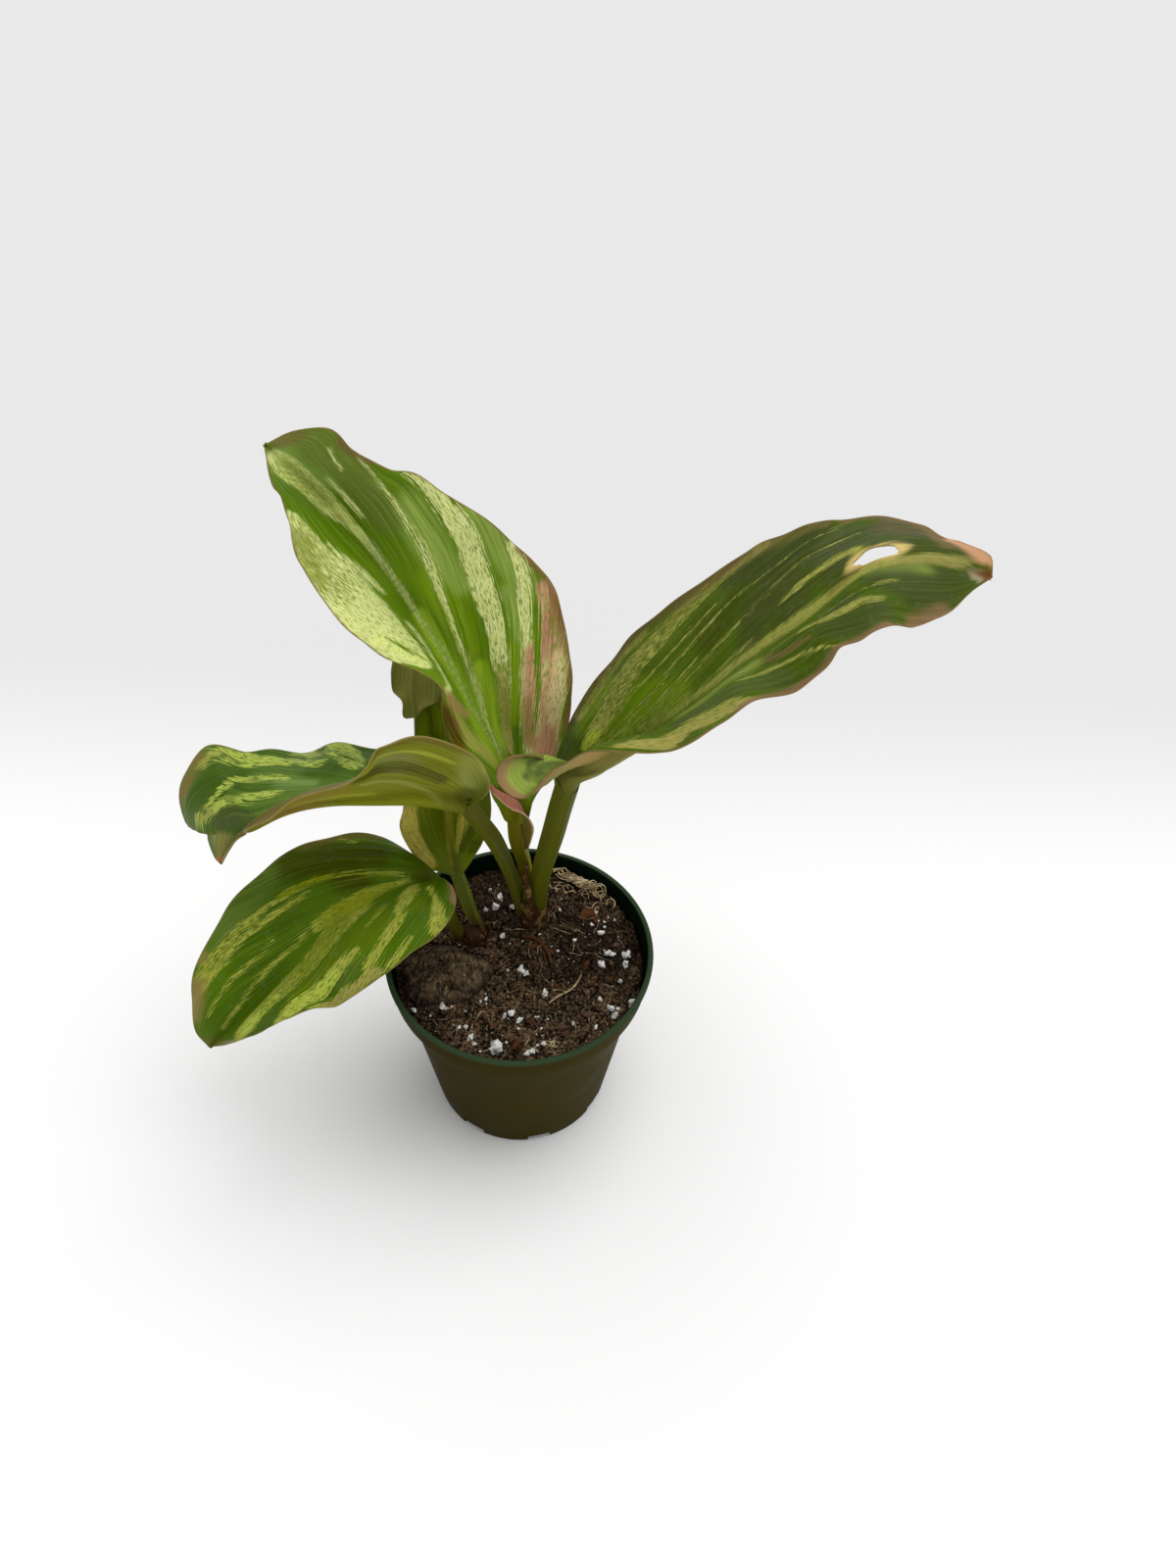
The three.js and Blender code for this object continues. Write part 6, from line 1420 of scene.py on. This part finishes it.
    height = add_node(tree, "Math", {0: coarse, 1: 0.03, 2: height}, operation="MULTIPLY_ADD")
    foot = add_node(tree, "MapRange", {0: height, 1: 0.112, 2: 0.096, 4: 0.8},
                    interpolation_type="SMOOTHSTEP")
    brown = add_node(tree, "Mix", {0: fine, 6: linear("#2b1a0c"), 7: linear("#664420")}, 2,
                     data_type="RGBA")
    petiole = add_node(tree, "Mix", {0: foot, 6: petiole, 7: brown}, 2, data_type="RGBA")
    skin = add_node(tree, "Mix", {0: read["stalk"], 6: skin, 7: petiole}, 2, data_type="RGBA")
    brim = add_node(tree, "Math", {0: fine, 1: 2.0, 2: read["rim"]}, operation="MULTIPLY_ADD")
    brim = add_node(tree, "MapRange", {0: brim, 1: 1.6, 2: 1.15, 4: 0.65}, interpolation_type="SMOOTHSTEP")
    skin = add_node(tree, "Mix", {0: brim, 6: skin, 7: linear(tones["rim"])}, 2, data_type="RGBA")
    gloss = add_node(tree, "MapRange", {0: fine, 1: 0.3, 2: 0.7, 3: 0.36, 4: 0.52})
    relief = add_node(tree, "Math", {0: lines, 1: 1.0, 2: fine}, operation="MULTIPLY_ADD")
    relief = add_node(tree, "Bump", {"Height": relief, "Strength": 0.4, "Distance": 0.0001})
    tissue = add_node(tree, "BsdfPrincipled", {
        "Base Color": skin, "Roughness": gloss, "Normal": relief, "IOR": 1.42, "Specular IOR Level": 0.08,
        "Subsurface Weight": 0.1, "Subsurface Radius": (0.8, 1.0, 0.25), "Subsurface Scale": 1.0 * MM})
    add_node(tree, "OutputMaterial", {"Surface": tissue})
    return material


LEAF_TONES = {
    "leaf_tall": {
        "green": "#5c7e06", "light": "#769814", "deep": "#456204", "cream": "#edf2ac",
        "yellow": "#d0da72", "fleck": "#82922c", "under": "#7d7a30", "under_light": "#97924a",
        "rim": "#8c6a44", "stalk": "#6c6808", "stalk_light": "#928a20",
    },
    "leaf_right": {
        "green": "#465a0a", "light": "#58740e", "deep": "#333f0a", "cream": "#b4b25c",
        "yellow": "#8e9438", "fleck": "#58681a", "under": "#74783a", "under_light": "#928c46",
        "rim": "#8e6c4c", "stalk": "#484a0a", "stalk_light": "#666c16",
    },
    "leaf_arched": {
        "green": "#466418", "light": "#5f7d30", "deep": "#385016", "cream": "#becc5e",
        "yellow": "#98aa3e", "fleck": "#4c6620", "under": "#646806", "under_light": "#8c9028",
        "rim": "#9c8450", "stalk": "#484a0e", "stalk_light": "#64681a",
    },
    "leaf_low": {
        "green": "#466200", "light": "#567806", "deep": "#2e4606", "cream": "#b6ba50",
        "yellow": "#949c2c", "fleck": "#566a0e", "under": "#6c7434", "under_light": "#8a8e4c",
        "rim": "#8c7a48", "stalk": "#484a0a", "stalk_light": "#666c16",
    },
    "leaf_rear": {
        "green": "#5e6c00", "light": "#728210", "deep": "#405200", "cream": "#c5b551",
        "yellow": "#9a9a20", "fleck": "#7a7a18", "under": "#8a9040", "under_light": "#a8a858",
        "rim": "#9a7a52", "stalk": "#565c14", "stalk_light": "#788232",
    },
}


def closed_sheet(name, top, bottom):
    """A thin sheet as a closed mesh between an upper and a lower grid of points."""
    sheet = bent_grid(name, np.concatenate([top, bottom[:, ::-1], top[:, :1]], axis=1))
    close_rings(sheet)
    return sheet


def nearest(piece, points):
    """For each vertex of a piece, which of the points in mm is nearest."""
    near = KDTree(len(points))
    for i, point in enumerate(points):
        near.insert(point * MM, i)
    near.balance()
    return np.array([near.find(vertex.co)[1] for vertex in piece.data.vertices])


def rolled_lap(rows):
    """The strip of a blade's margin that laps round its stalk, through (outer, inner) points in mm."""
    knots = [(i, *row) for i, row in enumerate(rows)]
    run = through(knots, np.linspace(0, len(rows) - 1, LAP_ROWS))
    across = np.linspace(0, 1, LAP_COLUMNS)[None, :, None]
    face = run[:, None, 3:] + (run[:, None, :3] - run[:, None, 3:]) * across
    normal = unit(np.cross(np.gradient(face, axis=1), np.gradient(face, axis=0)))
    shares = np.linspace(0, 1, LAP_ROWS)[:, None, None]
    wrinkle = 0.2 * np.sin(9 * across + 5 * shares) * np.sin(math.pi * across)
    face = face + normal * wrinkle
    lap = closed_sheet("lap", face + normal * LEAF_EDGE / 2, face - normal * LEAF_EDGE / 2)
    found = nearest(lap, face.reshape(-1, 3))
    set_attribute(lap.data, "lap_run", (found // LAP_COLUMNS) / (LAP_ROWS - 1))
    set_attribute(lap.data, "lap_side", (found % LAP_COLUMNS) / (LAP_COLUMNS - 1))
    return lap


# The lapped margin: thin pink-brown skin with a pale edge, olive where it turns away from the light
lapped_margin, tree = new_material("lapped_leaf_margin")
run = add_node(tree, "Attribute", output="Fac", attribute_name="lap_run")
side = add_node(tree, "Attribute", output="Fac", attribute_name="lap_side")
place = add_node(tree, "TexCoord", output="Object")
grain = add_node(tree, "Mapping", {"Vector": place, "Scale": (700, 700, 160), "Rotation": (0, 0.6, 0)})
grain = add_node(tree, "TexNoise", {"Vector": grain, "Scale": 1.0, "Detail": 4.0, "Roughness": 0.65})
pink = add_node(tree, "Mix", {0: grain, 6: linear("#94503a"), 7: linear("#c98a6c")}, 2, data_type="RGBA")
olive = add_node(tree, "Mix", {0: grain, 6: linear("#5f5210"), 7: linear("#85762c")}, 2, data_type="RGBA")
wing = add_node(tree, "MapRange", {0: run, 1: 0.52, 2: 0.62})
tone = add_node(tree, "Mix", {0: wing, 6: pink, 7: olive}, 2, data_type="RGBA")
edge = add_node(tree, "MapRange", {0: side, 1: 0.14, 2: 0.05, 4: 0.85})
tone = add_node(tree, "Mix", {0: edge, 6: tone, 7: linear("#dcb59c")}, 2, data_type="RGBA")
relief = add_node(tree, "Bump", {"Height": grain, "Strength": 0.3, "Distance": 0.0001})
skin = add_node(tree, "BsdfPrincipled", {"Base Color": tone, "Roughness": 0.5, "Normal": relief,
                                         "Specular IOR Level": 0.2})
add_node(tree, "OutputMaterial", {"Surface": skin})


def cut_hole(piece, leaf):
    """Cuts the torn hole of a blade through it, with an oval cutter that is a little uneven."""
    hole = leaf["hole"]
    centre, left, right, _ = leaf_sections(leaf, np.array([hole["share"], hole["share"] + 0.02]))
    along = Vector(centre[1] - centre[0]).normalized()
    side = Vector((left if hole["across"] < 0 else right)[0] - centre[0])
    up = side.cross(along).normalized()
    bpy.ops.object.select_all(action="DESELECT")
    bpy.ops.mesh.primitive_cylinder_add(vertices=44, radius=0.5, depth=14)
    cutter = bpy.context.object
    for vertex in cutter.data.vertices:
        push = 1 + 0.16 * noise.noise((vertex.co.x * 3, vertex.co.y * 3, 1.5))
        vertex.co.x *= push
        vertex.co.y *= push
    basis = Matrix((along, up.cross(along), up)).transposed().to_4x4()
    spot = Vector(centre[0]) + side * abs(hole["across"])
    size = Matrix.Diagonal((hole["length"], hole["width"], 1, 1))
    cutter.data.transform(Matrix.Scale(MM, 4) @ Matrix.Translation(spot) @ basis @ size)
    cut_away(piece, cutter, "MANIFOLD", 60)


def build_leaf(name, leaf):
    """One leaf as a closed mesh, with the readings that its material needs."""
    top, bottom, where = leaf_grid(leaf)
    piece = closed_sheet(name + "_blade", top, bottom)
    if "hole" in leaf:
        cut_hole(piece, leaf)
    found = nearest(piece, np.concatenate([top.reshape(-1, 3), bottom.reshape(-1, 3)]))

    def reading(upper, lower=None):
        """A value of the upper and of the lower face, for each vertex of the piece."""
        lower = upper if lower is None else lower
        return np.concatenate([upper.ravel(), lower.ravel()])[found]

    across, along = where["across"], where["along"]
    blade = np.clip(along, 0, 1)
    field = np.where(along <= 0, -3.0, stripe_field(where, STRIPES[name]))
    spare = where["width"] * (1 - np.abs(across))
    rim = np.where(along <= 0, 3.0, spare + 30 * np.clip(0.03 - blade, 0, 1))
    side = np.where(across < 0, -1.0, 1.0) * 40
    lengthwise = 0.4 * np.abs(across) * where["width"] + 0.9 * along * where["length"]
    near_stalk = np.clip(1 - blade * 7, 0, 1) * np.clip(1.7 - np.abs(across) * where["width"] / 4, 0, 1)
    vein = np.stack([reading(where["vein"]), reading(lengthwise), reading(side)], axis=-1)
    set_attribute(piece.data, "vein", vein)
    set_attribute(piece.data, "stalk", reading(np.where(along <= 0, 1.0, near_stalk)))
    set_attribute(piece.data, "stripe", reading(field, field - 1.5))
    set_attribute(piece.data, "under", reading(np.zeros_like(blade), np.ones_like(blade)))
    set_attribute(piece.data, "rim", reading(rim))
    fleck = np.zeros_like(blade)
    for i, (tissue, _, strength, runs) in enumerate(WASHES[name]):
        cover = np.where(along <= 0, 0.0, wash_field(where, runs))
        if tissue == "fleck":
            fleck = np.maximum(fleck, cover * strength)
        else:
            set_attribute(piece.data, f"wash_{i}", reading(cover))
    set_attribute(piece.data, "fleck", reading(fleck))
    piece.data.materials.append(leaf_material(name + "_tissue", LEAF_TONES[name], WASHES[name]))
    if "lap" in leaf:
        lap = rolled_lap(leaf["lap"])
        lap.data.materials.append(lapped_margin)
        joined([piece, lap], piece.name)
    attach(piece, "root")
    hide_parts(name)


for leaf_name, leaf in LEAVES.items():
    build_leaf(leaf_name, leaf)
